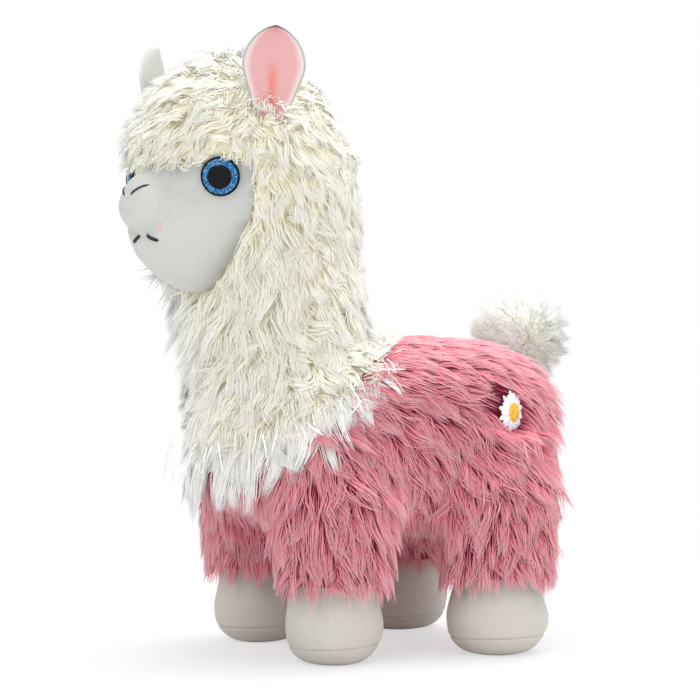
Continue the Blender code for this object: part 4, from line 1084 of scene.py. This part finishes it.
# heights and radii of the foot's outline
FOOT_CURVE = np.array((
    (0.0, 0.0098), (0.0007, 0.0126), (0.0022, 0.0156), (0.0046, 0.0181),
    (0.0080, 0.0202), (0.0125, 0.0216), (0.0170, 0.0220), (0.0270, 0.0213),
    (HEM_HEIGHT, FOOT_NECK), (FOOT_TOP, FOOT_NECK)))


def foot_outline(z):
    """Radius of the foot at each height: cubic curves through its pattern's points."""
    heights, radii = FOOT_CURVE.T
    slope = np.gradient(radii, heights)
    i = np.clip(np.searchsorted(heights, z, side="right") - 1, 0, len(heights) - 2)
    span = heights[i + 1] - heights[i]
    t = (z - heights[i]) / span
    return ((2 * t ** 3 - 3 * t ** 2 + 1) * radii[i]
            + (t ** 3 - 2 * t ** 2 + t) * span * slope[i]
            + (3 * t ** 2 - 2 * t ** 3) * radii[i + 1]
            + (t ** 3 - t ** 2) * span * slope[i + 1])


def foot_ring(x, y, z):
    """Ovals a little longer than wide below the sleeve, larger on the rear feet, and
    drawn in by the thread at the sole's seam."""
    radius = foot_outline(z) - 0.00045 * np.exp(-((z - TREAD_SEAM) / 0.0006) ** 2)
    share = np.clip(2 * (HEM_HEIGHT - z) / HEM_HEIGHT, 0, 1)
    radius = radius * (1 + (REAR_FOOT_GROWTH if y > 0 else 0.0) * share)
    along = radius * (1 + (FOOT_LENGTH / FOOT_WIDTH - 1) * share)
    turn = circle(64)
    dent = 0.00035 * np.sin(3 * turn[None] + 40 * x + 180 * z[:, None]) * share[:, None]
    seam = np.clip(1 - np.abs(z - TREAD_SEAM) / 0.006, 0, 1)[:, None]
    tilt = 0.0008 * seam * np.sin(turn + 900 * x)
    return np.stack([x + (radius[:, None] + dent) * np.cos(turn),
                     y + (along[:, None] + dent) * np.sin(turn),
                     z[:, None] + tilt], -1)


def make_feet(settings):
    """Each foot is a stack of ovals, with a sole of its own below the seam."""
    cloth = short_pile("velour, off-white, foot", settings.foot_colour, "C6C2BB")
    tread = short_pile("velour, off-white, sole", settings.foot_colour, "C4BFB7")
    near = np.array((0.00004, 0.0003, 0.0007, 0.0013, 0.0020))
    for name, x, y in LEGS:
        z = np.concatenate([TREAD_SEAM + near, np.linspace(TREAD_SEAM + 0.003, FOOT_TOP, 30)])
        piece = closed_piece(name + "_stuffed_foot", closed_stack(foot_ring(x, y, z)), cloth)
        dress(piece, "white_short_pile", name + "_foot")
        z = np.concatenate([[0.0, 0.0003, 0.0007, 0.0014, 0.0022, 0.0034, 0.0046, 0.0060],
                            TREAD_SEAM - near[::-1]])
        piece = closed_piece(name + "_sewn_sole", closed_stack(foot_ring(x, y, z)), tread)
        dress(piece, "white_short_pile", name + "_sole")


# Ears

def leaf_width(share):
    """Half-width of the ear's leaf: a narrow root, widest at two thirds, and above that
    (1 - t^2.1)^0.66 to a blunt point."""
    wide = 0.66
    x = np.clip(1 - share / wide, 0, 1)
    low = np.maximum(1 - 1.0 * x ** 1.2, 0.26)
    t = np.clip((share - wide) / (1 - wide), 0, 1)
    high = np.maximum((1 - t ** 2.1) ** 0.66, 0.04)
    return np.where(share < wide, low, high)


def turn_about(axis, angle):
    """Rotation about z or y."""
    c, s = math.cos(angle), math.sin(angle)
    if axis == "z":
        return np.array(((c, -s, 0), (s, c, 0), (0, 0, 1)))
    return np.array(((c, 0, s), (0, 1, 0), (-s, 0, c)))


def ear_rings(side, near, far, edge, rows, columns):
    """Rings round a leaf: across its front, a lift near from the leaf, and back behind it.
    The leaf is hollow across, and a fold runs up the middle of its lower half."""
    share = np.linspace(0, 1, rows)[:, None]
    across = np.linspace(-1, 1, columns)[None]
    width = (0.5 * EAR_WIDTH - edge) * leaf_width(share)
    height = EAR_LENGTH * share - edge * np.clip(2 * share - 1, 0, 1)
    hollow = EAR_CUP * (1 - np.abs(across) ** 1.5) * (1 - 0.5 * share)
    fold = 0.0012 * np.exp(-(across / 0.10) ** 2) * np.exp(-((share - 0.55) / 0.22) ** 2)
    rim = np.sqrt(np.clip(1 - across ** 4, 0, 1))

    def layer(lift):
        return np.stack(np.broadcast_arrays(across * width, hollow + fold - lift * rim,
                                            height), -1)

    local = np.concatenate([layer(near), layer(far)[:, ::-1]], 1)
    flat = np.stack(np.broadcast_arrays(across, share), -1)
    uv = np.concatenate([flat, flat[:, ::-1]], 1)
    spin = turn_about("z", side * EAR_TURN)
    lean = turn_about("y", side * EAR_LEAN)
    root = np.array((side * EAR_SIDE, -EAR_FORWARD, EAR_BASE))
    local = root + local @ (lean @ spin).T
    return HEAD_MIDDLE + local @ turn_about("z", HEAD_YAW).T, uv


def lining_material(code):
    """Smooth lining, pink airbrushed over white: even in the middle, coral in the fold,
    and fading at the rim to a white greyed by painted shade. Its nap is drawn at about 1 mm,
    coarser than it is, so that it shows."""
    finish, tree, shader = material("polyester lining, airbrushed", Roughness=0.9,
                                    Specular_IOR_Level=0.15)
    pattern = add(tree, "ShaderNodeUVMap", {"uv_map": "pattern"})
    parts = add(tree, "ShaderNodeSeparateXYZ", Vector=pattern.outputs["UV"])
    apart = add(tree, "ShaderNodeMath", {"operation": "ABSOLUTE"}, _0=parts.outputs["X"])
    # painted shade: the rim's grey E4D6D5 is white cloth written darker
    spray = add(tree, "ShaderNodeValToRGB", {"stops": (
        (0.0, code), (0.72, code), (0.99, "E4D6D5"))}, Fac=apart.outputs[0]).outputs["Color"]
    tip = add(tree, "ShaderNodeValToRGB", {"stops": (
        (0.0, "FFFFFF"), (0.86, "FFFFFF"), (1.0, "FFF4F2"))},
        Fac=parts.outputs["Y"]).outputs["Color"]
    tint = add(tree, "ShaderNodeMix", {"data_type": "RGBA", "blend_type": "MULTIPLY"},
               _0=1.0, _6=spray, _7=tip)
    line = add(tree, "ShaderNodeValToRGB", {"stops": ((0.0, "E0E0E0"), (0.26, "000000"))},
               Fac=apart.outputs[0]).outputs["Color"]
    along = add(tree, "ShaderNodeValToRGB", {"stops": (
        (0.22, "000000"), (0.36, "FFFFFF"), (0.58, "FFFFFF"), (0.74, "000000"))},
        Fac=parts.outputs["Y"]).outputs["Color"]
    where = add(tree, "ShaderNodeMix", {"data_type": "RGBA", "blend_type": "MULTIPLY"},
                _0=1.0, _6=line, _7=along)
    coral = add(tree, "ShaderNodeMix", {"data_type": "RGBA"},
                _0=where.outputs[2], _6=tint.outputs[2], _7=linear("EE7E6C"))
    tree.links.new(coral.outputs[2], shader.inputs["Base Color"])
    place = add(tree, "ShaderNodeTexCoord")
    nap = add(tree, "ShaderNodeTexNoise", Vector=place.outputs["Object"], Scale=1100.0,
              Detail=3.0)
    bump = add(tree, "ShaderNodeBump", Strength=0.25, Distance=0.0002,
               Height=nap.outputs["Fac"])
    tree.links.new(bump.outputs["Normal"], shader.inputs["Normal"])
    return finish


def make_ears(settings):
    """A velour back and a lining laid into its hollow for each ear."""
    white = short_pile("velour, white, ear", settings.cloth_colour, "C2C4C0")
    pink = lining_material(settings.lining_colour)
    for side, label in ((1, "left"), (-1, "right")):
        for name, near, far, edge, finish, slot, node in (
                ("ear_velour_", 0.0, -EAR_THICKNESS, 0.0, white, "white_short_pile",
                 "ear_back_"),
                ("ear_inside_", 0.0008, CLEARANCE, 0.0009, pink, "pink_lining",
                 "ear_lining_")):
            rings, uv = ear_rings(side, near, far, edge, 40, 23)
            uv = np.concatenate([uv.reshape(-1, 2), uv[0].mean(0)[None],
                                 uv[-1].mean(0)[None]])
            piece = closed_piece(name + label, closed_stack(rings), finish, uv)
            dress(piece, slot, node + label)


# Eyes

def eye_frame(side):
    """Middle, across, up and look of an eye on the face, in the pattern's frame."""
    middle, look = eye_place(side)
    across = unit(np.cross(np.array((0.0, 0.0, 1.0)), look))
    return middle, across, np.cross(look, across), look


def eye_seat(side):
    """Highest level of the face round the eye's rim, where the cup rests."""
    middle, across, up, look = eye_frame(side)
    turn = circle(12)
    levels = [0.0]
    for reach in (0.25 * EYE_DIAMETER, 0.5 * EYE_DIAMETER):
        spots = middle + reach * (np.cos(turn)[:, None] * across + np.sin(turn)[:, None] * up)
        rays = unit(to_head(spots) - FACE_EYE)
        on = from_head(FACE_EYE + rays * face_reach(rays)[:, None])
        levels.append(float(((on - middle) @ look).max()))
    return max(levels) + CLEARANCE


def turned(name, side, profile, sides, finish, slot, node):
    """A profile of radius and height turned about the eye's own axis, with a map in
    centimetres from that axis."""
    middle, across, up, look = eye_frame(side)
    turn = circle(sides)
    profile = np.array(profile)
    wheel = np.cos(turn)[:, None] * across + np.sin(turn)[:, None] * up
    rings = middle + profile[:, :1, None] * wheel + profile[:, 1:, None] * look
    flat = np.stack([profile[:, :1] * np.cos(turn), profile[:, :1] * np.sin(turn)], -1)
    uv = np.concatenate([flat.reshape(-1, 2), np.zeros((2, 2))]) * 100
    dress(closed_piece(name, closed_stack(rings), finish, uv), slot, node)


def glitter_material(code):
    """Printed disc under the lens: coarse glitter round a black pupil. The pattern is in
    centimetres from the disc's middle; flakes are drawn at about 0.35 mm, from deep blue to near
    white as painted glints."""
    finish, tree, shader = material("PET glitter print", Roughness=0.5,
                                    Specular_IOR_Level=0.0)
    pattern = add(tree, "ShaderNodeUVMap", {"uv_map": "pattern"})
    flakes = add(tree, "ShaderNodeTexVoronoi", Vector=pattern.outputs["UV"], Scale=28.0)
    shine = add(tree, "ShaderNodeSeparateColor", _0=flakes.outputs["Color"])
    # painted glint: flakes from deep blue to near white stand for tilted flakes catching the
    # light
    tint = add(tree, "ShaderNodeValToRGB", {"stops": (
        (0.0, "05264E"), (0.40, code), (0.78, "2F9ADC"), (1.0, "AEE4FF"))},
        Fac=shine.outputs["Red"]).outputs["Color"]
    radius = add(tree, "ShaderNodeVectorMath", {"operation": "LENGTH"},
                 _0=pattern.outputs["UV"])
    pupil = add(tree, "ShaderNodeValToRGB", {"stops": (
        (0.545, "050508"), (0.585, "FFFFFF"), (0.80, "FFFFFF"), (0.85, "3A5A80"))},
        Fac=radius.outputs["Value"]).outputs["Color"]
    both = add(tree, "ShaderNodeMix", {"data_type": "RGBA", "blend_type": "MULTIPLY"},
               _0=1.0, _6=tint, _7=pupil)
    tree.links.new(both.outputs[2], shader.inputs["Base Color"])
    return finish


def make_eyes(settings):
    """Cup with stem, glitter disc and lens of each eye, as turned profiles."""
    # moulded ABS: deep black with small, sharp highlights
    black, _, _ = material("ABS, moulded, black", Base_Color=linear("08080B"),
                           Roughness=0.22)
    iris = glitter_material(settings.iris_colour)
    # clear acrylic: a polished dome over the glitter; its own IOR of 1.49 would veil the
    # pupil, since the backdrop is white on every side
    lens, _, _ = material("acrylic, moulded, clear", Base_Color=linear("FFFFFF"),
                          Roughness=0.02, IOR=1.22, Transmission_Weight=1.0)
    radius = 0.5 * EYE_DIAMETER
    well = radius - 0.0004
    bend = np.radians(np.linspace(0, 90, 7))
    climb = np.radians(np.linspace(3, 88, 20))
    for side, label in ((1, "left"), (-1, "right")):
        seat = eye_seat(side)
        rim = seat + 0.0018
        lip = [(radius - 0.0003 + 0.0003 * math.cos(t), rim - 0.0003 + 0.0003 * math.sin(t))
               for t in bend]
        cup = [(STEM_RADIUS, -STEM_LENGTH), (STEM_RADIUS, seat), (radius - 0.0012, seat),
               (radius - 0.0003, seat + 0.0003), (radius, seat + 0.0009)] + lip
        cup += [(well, rim - 0.0001), (well, seat + 0.0006)]
        turned("eye_moulding_" + label, side, cup, 48, black, "black_plastic",
               "eye_cup_" + label)
        base = seat + 0.0007
        edge = well - 0.00045
        disc = [(edge, base)] + [(edge * math.cos(t), base + 0.0004 + 0.0033 * math.sin(t))
                                 for t in climb]
        turned("eye_glitter_" + label, side, disc, 48, iris, "glitter_disc",
               "eye_iris_" + label)
        dome = [(edge + 0.0003, base), (edge + 0.0003, base + 0.0004)]
        dome += [((edge + 0.0003) * math.cos(t), base + 0.0004 + 0.0041 * math.sin(t))
                 for t in climb]
        dome += [((edge + 0.0001) * math.cos(t), base + 0.0004 + 0.0035 * math.sin(t))
                 for t in climb[::-1]]
        dome.append((edge + 0.0001, base))
        turned("eye_dome_" + label, side, dome, 48, lens, "clear_plastic",
               "eye_lens_" + label)


# Embroidery and tinsel

def tubes(lines, ways, wide, thick, sides=8):
    """Oval tubes along centre lines, drawn in to about a third at each closed end."""
    along = unit(np.gradient(lines, axis=1))
    side = unit(np.cross(along, ways[:, None]))
    up = np.cross(along, side)
    turn = circle(sides)
    taper = np.ones(lines.shape[1])
    taper[[0, -1]] = 0.35
    ring = (wide * np.cos(turn)[:, None] * side[:, :, None]
            + thick * np.sin(turn)[:, None] * up[:, :, None]) * taper[:, None, None]
    return joined([closed_stack(rings) for rings in lines[:, :, None] + ring])


def thread_piece(name, lines, ways, wide, thick, finish, slot, *nodes):
    """A dressed piece of oval tubes along centre lines."""
    piece = closed_piece(name, tubes(lines, ways, wide, thick), finish)
    return dress(piece, slot, *nodes)


def face_line(start, end, lift, count=9):
    """A straight run on the face between two spots given as left and up of its middle."""
    s = np.linspace(0, 1, count)[:, None]
    flat = np.array(start) * (1 - s) + np.array(end) * s
    rays = unit(np.stack([flat[:, 0], np.full(count, MUZZLE_FRONT), flat[:, 1]], -1))
    arch = lift * np.sin(math.pi * s[:, 0]) ** 0.4
    return face_spots(rays, arch)[None], (rays[count // 2] @ AXES)[None]


def make_embroidery(settings):
    """Nostrils and mouth as single stitches, then the daisy."""
    # twisted rayon: near black, with a soft gloss along the stitch
    black, _, _ = material("rayon thread, black", Base_Color=linear("131116"),
                           Roughness=0.55)
    for side, label in ((1, "left"), (-1, "right")):
        lines, way = face_line((side * 0.0020, NOSTRIL_RISE),
                               (side * 0.0090, NOSTRIL_RISE + 0.0060), 0.0003)
        thread_piece("nostril_thread_" + label, lines, way, 0.00050, 0.00035, black,
                     "black_thread", "nostril_stitch_" + label)
        lines, way = face_line((side * 0.0028 + 0.0022, -MOUTH_DROP),
                               (side * 0.0100 + 0.0036, -MOUTH_DROP - 0.0034), 0.0004)
        thread_piece("mouth_thread_" + label, lines, way, 0.00085, 0.00045, black,
                     "black_thread", "mouth_stitch_" + label)
    make_daisy(settings)


def satin_material(name, code, deep):
    """Satin-stitched rayon: glossy threads side by side, drawn at about 0.4 mm; the deep colour
    between them is painted shade.
    """
    finish, tree, shader = material(name, Roughness=0.42, Sheen_Weight=0.2)
    place = add(tree, "ShaderNodeTexCoord")
    thread = add(tree, "ShaderNodeTexNoise", Vector=place.outputs["Object"], Scale=1500.0,
                 Detail=2.0)
    tint = add(tree, "ShaderNodeValToRGB", {"stops": ((0.35, deep), (0.6, code))},
               Fac=thread.outputs["Fac"]).outputs["Color"]
    tree.links.new(tint, shader.inputs["Base Color"])
    bump = add(tree, "ShaderNodeBump", Strength=0.6, Distance=0.0003,
               Height=thread.outputs["Fac"])
    tree.links.new(bump.outputs["Normal"], shader.inputs["Normal"])
    return finish


def make_daisy(settings):
    """Petals are long lenses, their half-width w sin(pi u^0.8)^0.6 at the share u of their
    length, laid in two rounds about a raised oval button."""
    facing = np.array((math.cos(DAISY_TURN), math.sin(DAISY_TURN), 0.0))
    across = np.cross((0.0, 0.0, 1.0), facing)
    up = np.array((0.0, 0.0, 1.0))
    spot, _ = settle(body_depth, DAISY_MIDDLE[None])
    middle = spot[0] + 0.0034 * facing
    turn = circle(10)
    u = np.linspace(0.02, 0.98, 12)[:, None]
    dice = np.random.default_rng(15)
    parts = []
    for level, count, reach in ((0.0, 11, 1.0), (0.0006, 11, 0.93)):
        for k in range(count):
            angle = 2 * math.pi * (k + (0.5 if level else 0)) / count + dice.normal(0, 0.05)
            out = math.cos(angle) * across + math.sin(angle) * up
            beside = np.cross(facing, out)
            far = DAISY_RADIUS * reach * dice.uniform(0.93, 1.03)
            run = PETAL_ROOT + (far - PETAL_ROOT) * u
            wide = 0.00165 * np.sin(math.pi * u ** 0.8) ** 0.6
            spine = middle + run[..., None] * out + (level - 0.0010 * u)[..., None] * facing
            ring = (wide * np.cos(turn))[..., None] * beside
            ring = ring + (0.45 * wide * np.sin(turn))[..., None] * facing
            parts.append(closed_stack(spine + ring))
    # painted shade: the lilac D9D8F0 between the white petal threads
    petals = closed_piece("daisy_satin_petals", joined(parts), satin_material(
        "rayon thread, white, satin stitch", "FBFBFF", "D9D8F0"))
    dress(petals, "white_thread", "daisy_petals")
    turn = circle(40)
    climb = np.radians(np.linspace(2, 86, 12))[:, None]
    wheel = np.cos(turn)[:, None] * across + 1.12 * np.sin(turn)[:, None] * up
    dome = middle + 0.0009 * facing + 0.0043 * np.cos(climb)[..., None] * wheel
    dome = dome + 0.0015 * np.sin(climb)[..., None] * facing
    low = middle - 0.0004 * facing + 0.0040 * wheel[None]
    shape = closed_stack(np.concatenate([low, dome]))
    # painted shade: the deeper orange D98A10 between the yellow threads
    button = closed_piece("daisy_satin_centre", shape, satin_material(
        "rayon thread, yellow, satin stitch", settings.daisy_colour, "D98A10"))
    dress(button, "yellow_thread", "daisy_centre")


def make_tinsel(settings):
    """Flat metallised strips caught in the collar's seam, each a shallow arc."""
    # metallised film: mirrors lamps or backdrop, so a strip flashes white or stays grey
    silver, _, _ = material("polyester film, metallised, silver",
                            Base_Color=linear("F2F4F6"), Metallic=1.0, Roughness=0.14)
    dice = np.random.default_rng(16)
    p, n = shell(whole_depth, COLLAR_BOX, 600, dice,
                 lambda p, n: ruff_roots(p, n) & (p[:, 1] < -0.02))
    p, n = thinned(p, n, 0.008)
    count = min(settings.tinsel_strands, len(p))
    chosen = dice.permutation(len(p))[:count]
    p, n = p[chosen], n[chosen]
    lay = ruff_comb(p, n) + dice.normal(0, 0.5, p.shape)
    lay = unit(lay - n * (lay * n).sum(1, keepdims=True))
    start = unit(lay + n * dice.uniform(0.3, 0.9, (count, 1)))
    end = unit(lay + dice.normal(0, 0.25, p.shape) + 0.1 * n)
    places = np.linspace(0, 1, 7)
    lines = sweep(p + TINSEL_LIFT * n, start, end, dice.uniform(0.010, 0.022, count), places)
    ways = unit(n + dice.normal(0, 0.5, p.shape))
    piece = thread_piece("silver_tinsel", lines, ways, settings.tinsel_width, 0.00006,
                         silver, "white_long_pile")
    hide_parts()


def make_stuffing(settings):
    """Fibre inside the covers, the forms of body and head well below their backing, and
    plain finishes for the inner pieces that no view shows."""
    # carded fibre: matt white, in faint clouds of about 3 mm where the wad is thin
    fibre, tree, shader = material("polyester fibre, carded", Roughness=1.0)
    place = add(tree, "ShaderNodeTexCoord")
    wad = add(tree, "ShaderNodeTexNoise", Vector=place.outputs["Object"], Scale=300.0)
    tint = add(tree, "ShaderNodeValToRGB", {"stops": ((0.3, "ECECEA"), (0.7, "FAFAF8"))},
               Fac=wad.outputs["Fac"]).outputs["Color"]
    tree.links.new(tint, shader.inputs["Base Color"])
    piece = closed_piece("stuffing", joined([body_forms(-STUFFING_DEPTH),
                                             head_forms(-STUFFING_DEPTH)]), fibre)
    dress(piece, "fibre", "fibre_fill")
    # moulded nylon: waxy and a little yellow, clouded at about 2 mm
    nylon, tree, shader = material("nylon 6, moulded", Roughness=0.45)
    place = add(tree, "ShaderNodeTexCoord")
    cloud = add(tree, "ShaderNodeTexNoise", Vector=place.outputs["Object"], Scale=500.0)
    tint = add(tree, "ShaderNodeValToRGB", {"stops": ((0.3, "DEDACF"), (0.7, "EFECE3"))},
               Fac=cloud.outputs["Fac"]).outputs["Color"]
    tree.links.new(tint, shader.inputs["Base Color"])
    for node, finish in (("tail_fill", fibre), ("eye_washer_left", nylon),
                         ("eye_washer_right", nylon)):
        mesh = bpy.data.objects[node].data
        mesh.materials.clear()
        mesh.materials.append(finish)


# What a user may change

def colour(name, description, code):
    """A colour that a user may change."""
    return FloatVectorProperty(name=name, description=description, subtype="COLOR", size=3,
                               min=0.0, max=1.0, default=linear(code)[:3])


class PileSettings(PropertyGroup):
    """Lengths, widths, numbers and colours of the long pile."""
    body_length: FloatProperty(name="Body pile", description="Length of the pink pile",
                               default=0.021, unit="LENGTH")
    head_length: FloatProperty(name="Head pile", description="Length of the cream pile",
                               default=0.0140, unit="LENGTH")
    ruff_length: FloatProperty(name="Collar pile", description="Length of the white collar",
                               default=0.0255, unit="LENGTH")
    strand_width: FloatProperty(name="Strand width", description="Half-width of a strand",
                                default=0.00040, unit="LENGTH", precision=5)
    tinsel_width: FloatProperty(name="Tinsel width", description="Half-width of a strip",
                                default=0.00028, unit="LENGTH", precision=5)
    body_strands: IntProperty(name="Body strands", description="Strands on the pink cover",
                              default=33500)
    head_strands: IntProperty(name="Head strands", description="Strands on head and neck",
                              default=31000)
    bib_strands: IntProperty(name="Shoulder strands", description="Cream strands over the "
                             "shoulders", default=7500)
    ruff_strands: IntProperty(name="Collar strands", description="Strands on the collar",
                              default=4200)
    tail_strands: IntProperty(name="Tail strands", description="Strands on the pompom",
                              default=4000)
    tinsel_strands: IntProperty(name="Tinsel strips", description="Strips in the collar",
                                default=46)
    # painted shade: the root colours, darker or warmer than the tips, are the shade deep in the
    # pile
    pink_roots: colour("Pink roots", "Pink pile at its root", "A8415A")
    pink_middle: colour("Pink middle", "Pink pile at half its length", "F895A3")
    pink_tips: colour("Pink tips", "Pink pile at its tip", "FFCDD2")
    cream_roots: colour("Cream roots", "Cream pile at its root", "FCF1C8")
    cream_middle: colour("Cream middle", "Cream pile at half its length", "FFFDEC")
    cream_tips: colour("Cream tips", "Cream pile at its tip", "FFFFFF")


class TrimSettings(PropertyGroup):
    """Colours of cloth, lining, eyes and embroidery."""
    # painted shade: the velour of face, ears and feet is white cloth written grey, and the ear
    # lining is written darker, for the shade they stand in
    cloth_colour: colour("Cloth", "Velour of face and ears", "C8CAC6")
    foot_colour: colour("Feet", "Velour of the feet", "CCC8C1")
    lining_colour: colour("Ear lining", "Airbrushed lining", "DCA9AA")
    iris_colour: colour("Iris", "Glitter of the eyes", "0E68B0")
    daisy_colour: colour("Daisy centre", "Embroidered button", "F6C71C")


class StageSettings(PropertyGroup):
    """Lamps and room light."""
    key_power: FloatProperty(name="Key lamp", description="Power in watts", default=8.0)
    fill_power: FloatProperty(name="Fill lamp", description="Power in watts", default=5.5)
    top_power: FloatProperty(name="Top lamp", description="Power in watts", default=20.0)
    room_light: FloatProperty(name="Room light", description="Light from all round",
                              default=0.66)


class ALPACA_OT_pink_pile(Operator):
    """Lay the pink pile over trunk and legs"""
    bl_idname = "alpaca.pink_pile"
    bl_label = "Pink pile"

    def execute(self, context):
        make_pink_pile(context.scene.alpaca_pile)
        return {"FINISHED"}


class ALPACA_OT_cream_pile(Operator):
    """Lay the cream curls over head and neck"""
    bl_idname = "alpaca.cream_pile"
    bl_label = "Cream pile"

    def execute(self, context):
        make_cream_pile(context.scene.alpaca_pile)
        return {"FINISHED"}


class ALPACA_OT_collar(Operator):
    """Hang the white collar and its silver tinsel"""
    bl_idname = "alpaca.collar"
    bl_label = "Collar"

    def execute(self, context):
        make_ruff(context.scene.alpaca_pile)
        make_tinsel(context.scene.alpaca_pile)
        return {"FINISHED"}


class ALPACA_OT_tail(Operator):
    """Make the pompom tail"""
    bl_idname = "alpaca.tail"
    bl_label = "Tail"

    def execute(self, context):
        make_tail(context.scene.alpaca_pile)
        return {"FINISHED"}


class ALPACA_OT_face(Operator):
    """Sew the white face"""
    bl_idname = "alpaca.face"
    bl_label = "Face"

    def execute(self, context):
        make_face(context.scene.alpaca_trim)
        return {"FINISHED"}


class ALPACA_OT_feet(Operator):
    """Sew the four feet and their soles"""
    bl_idname = "alpaca.feet"
    bl_label = "Feet"

    def execute(self, context):
        make_feet(context.scene.alpaca_trim)
        return {"FINISHED"}


class ALPACA_OT_ears(Operator):
    """Sew the two lined ears"""
    bl_idname = "alpaca.ears"
    bl_label = "Ears"

    def execute(self, context):
        make_ears(context.scene.alpaca_trim)
        return {"FINISHED"}


class ALPACA_OT_eyes(Operator):
    """Set the two safety eyes"""
    bl_idname = "alpaca.eyes"
    bl_label = "Eyes"

    def execute(self, context):
        make_eyes(context.scene.alpaca_trim)
        return {"FINISHED"}


class ALPACA_OT_embroidery(Operator):
    """Stitch nostrils, mouth and daisy"""
    bl_idname = "alpaca.embroidery"
    bl_label = "Embroidery"

    def execute(self, context):
        make_embroidery(context.scene.alpaca_trim)
        return {"FINISHED"}


class ALPACA_OT_stuffing(Operator):
    """Fill the covers and finish the hidden pieces"""
    bl_idname = "alpaca.stuffing"
    bl_label = "Stuffing"

    def execute(self, context):
        make_stuffing(context.scene.alpaca_trim)
        return {"FINISHED"}


class ALPACA_OT_stage(Operator):
    """Set camera, lamps, room light and floor"""
    bl_idname = "alpaca.stage"
    bl_label = "Stage"

    def execute(self, context):
        make_stage(context.scene.alpaca_stage)
        return {"FINISHED"}


OPERATORS = (ALPACA_OT_pink_pile, ALPACA_OT_cream_pile, ALPACA_OT_collar, ALPACA_OT_tail,
             ALPACA_OT_face, ALPACA_OT_feet, ALPACA_OT_ears, ALPACA_OT_eyes,
             ALPACA_OT_embroidery, ALPACA_OT_stuffing, ALPACA_OT_stage)


class ALPACA_PT_pieces(Panel):
    """Lists the pieces and what a user may change"""
    bl_label = "Plush alpaca"
    bl_space_type = "VIEW_3D"
    bl_region_type = "UI"
    bl_category = "Alpaca"

    def draw(self, context):
        for group in ("alpaca_pile", "alpaca_trim", "alpaca_stage"):
            settings = getattr(context.scene, group)
            box = self.layout.box()
            for name in type(settings).__annotations__:
                box.prop(settings, name)
        for operator in OPERATORS:
            self.layout.operator(operator.bl_idname)


CLASSES = (PileSettings, TrimSettings, StageSettings) + OPERATORS + (ALPACA_PT_pieces,)


def register():
    for each in CLASSES:
        bpy.utils.register_class(each)
    bpy.types.Scene.alpaca_pile = PointerProperty(type=PileSettings)
    bpy.types.Scene.alpaca_trim = PointerProperty(type=TrimSettings)
    bpy.types.Scene.alpaca_stage = PointerProperty(type=StageSettings)


def unregister():
    del bpy.types.Scene.alpaca_stage
    del bpy.types.Scene.alpaca_trim
    del bpy.types.Scene.alpaca_pile
    for each in reversed(CLASSES):
        bpy.utils.unregister_class(each)


def main():
    register()
    for operator in OPERATORS:
        group, name = operator.bl_idname.split(".")
        getattr(getattr(bpy.ops, group), name)()


if __name__ == "__main__":
    main()
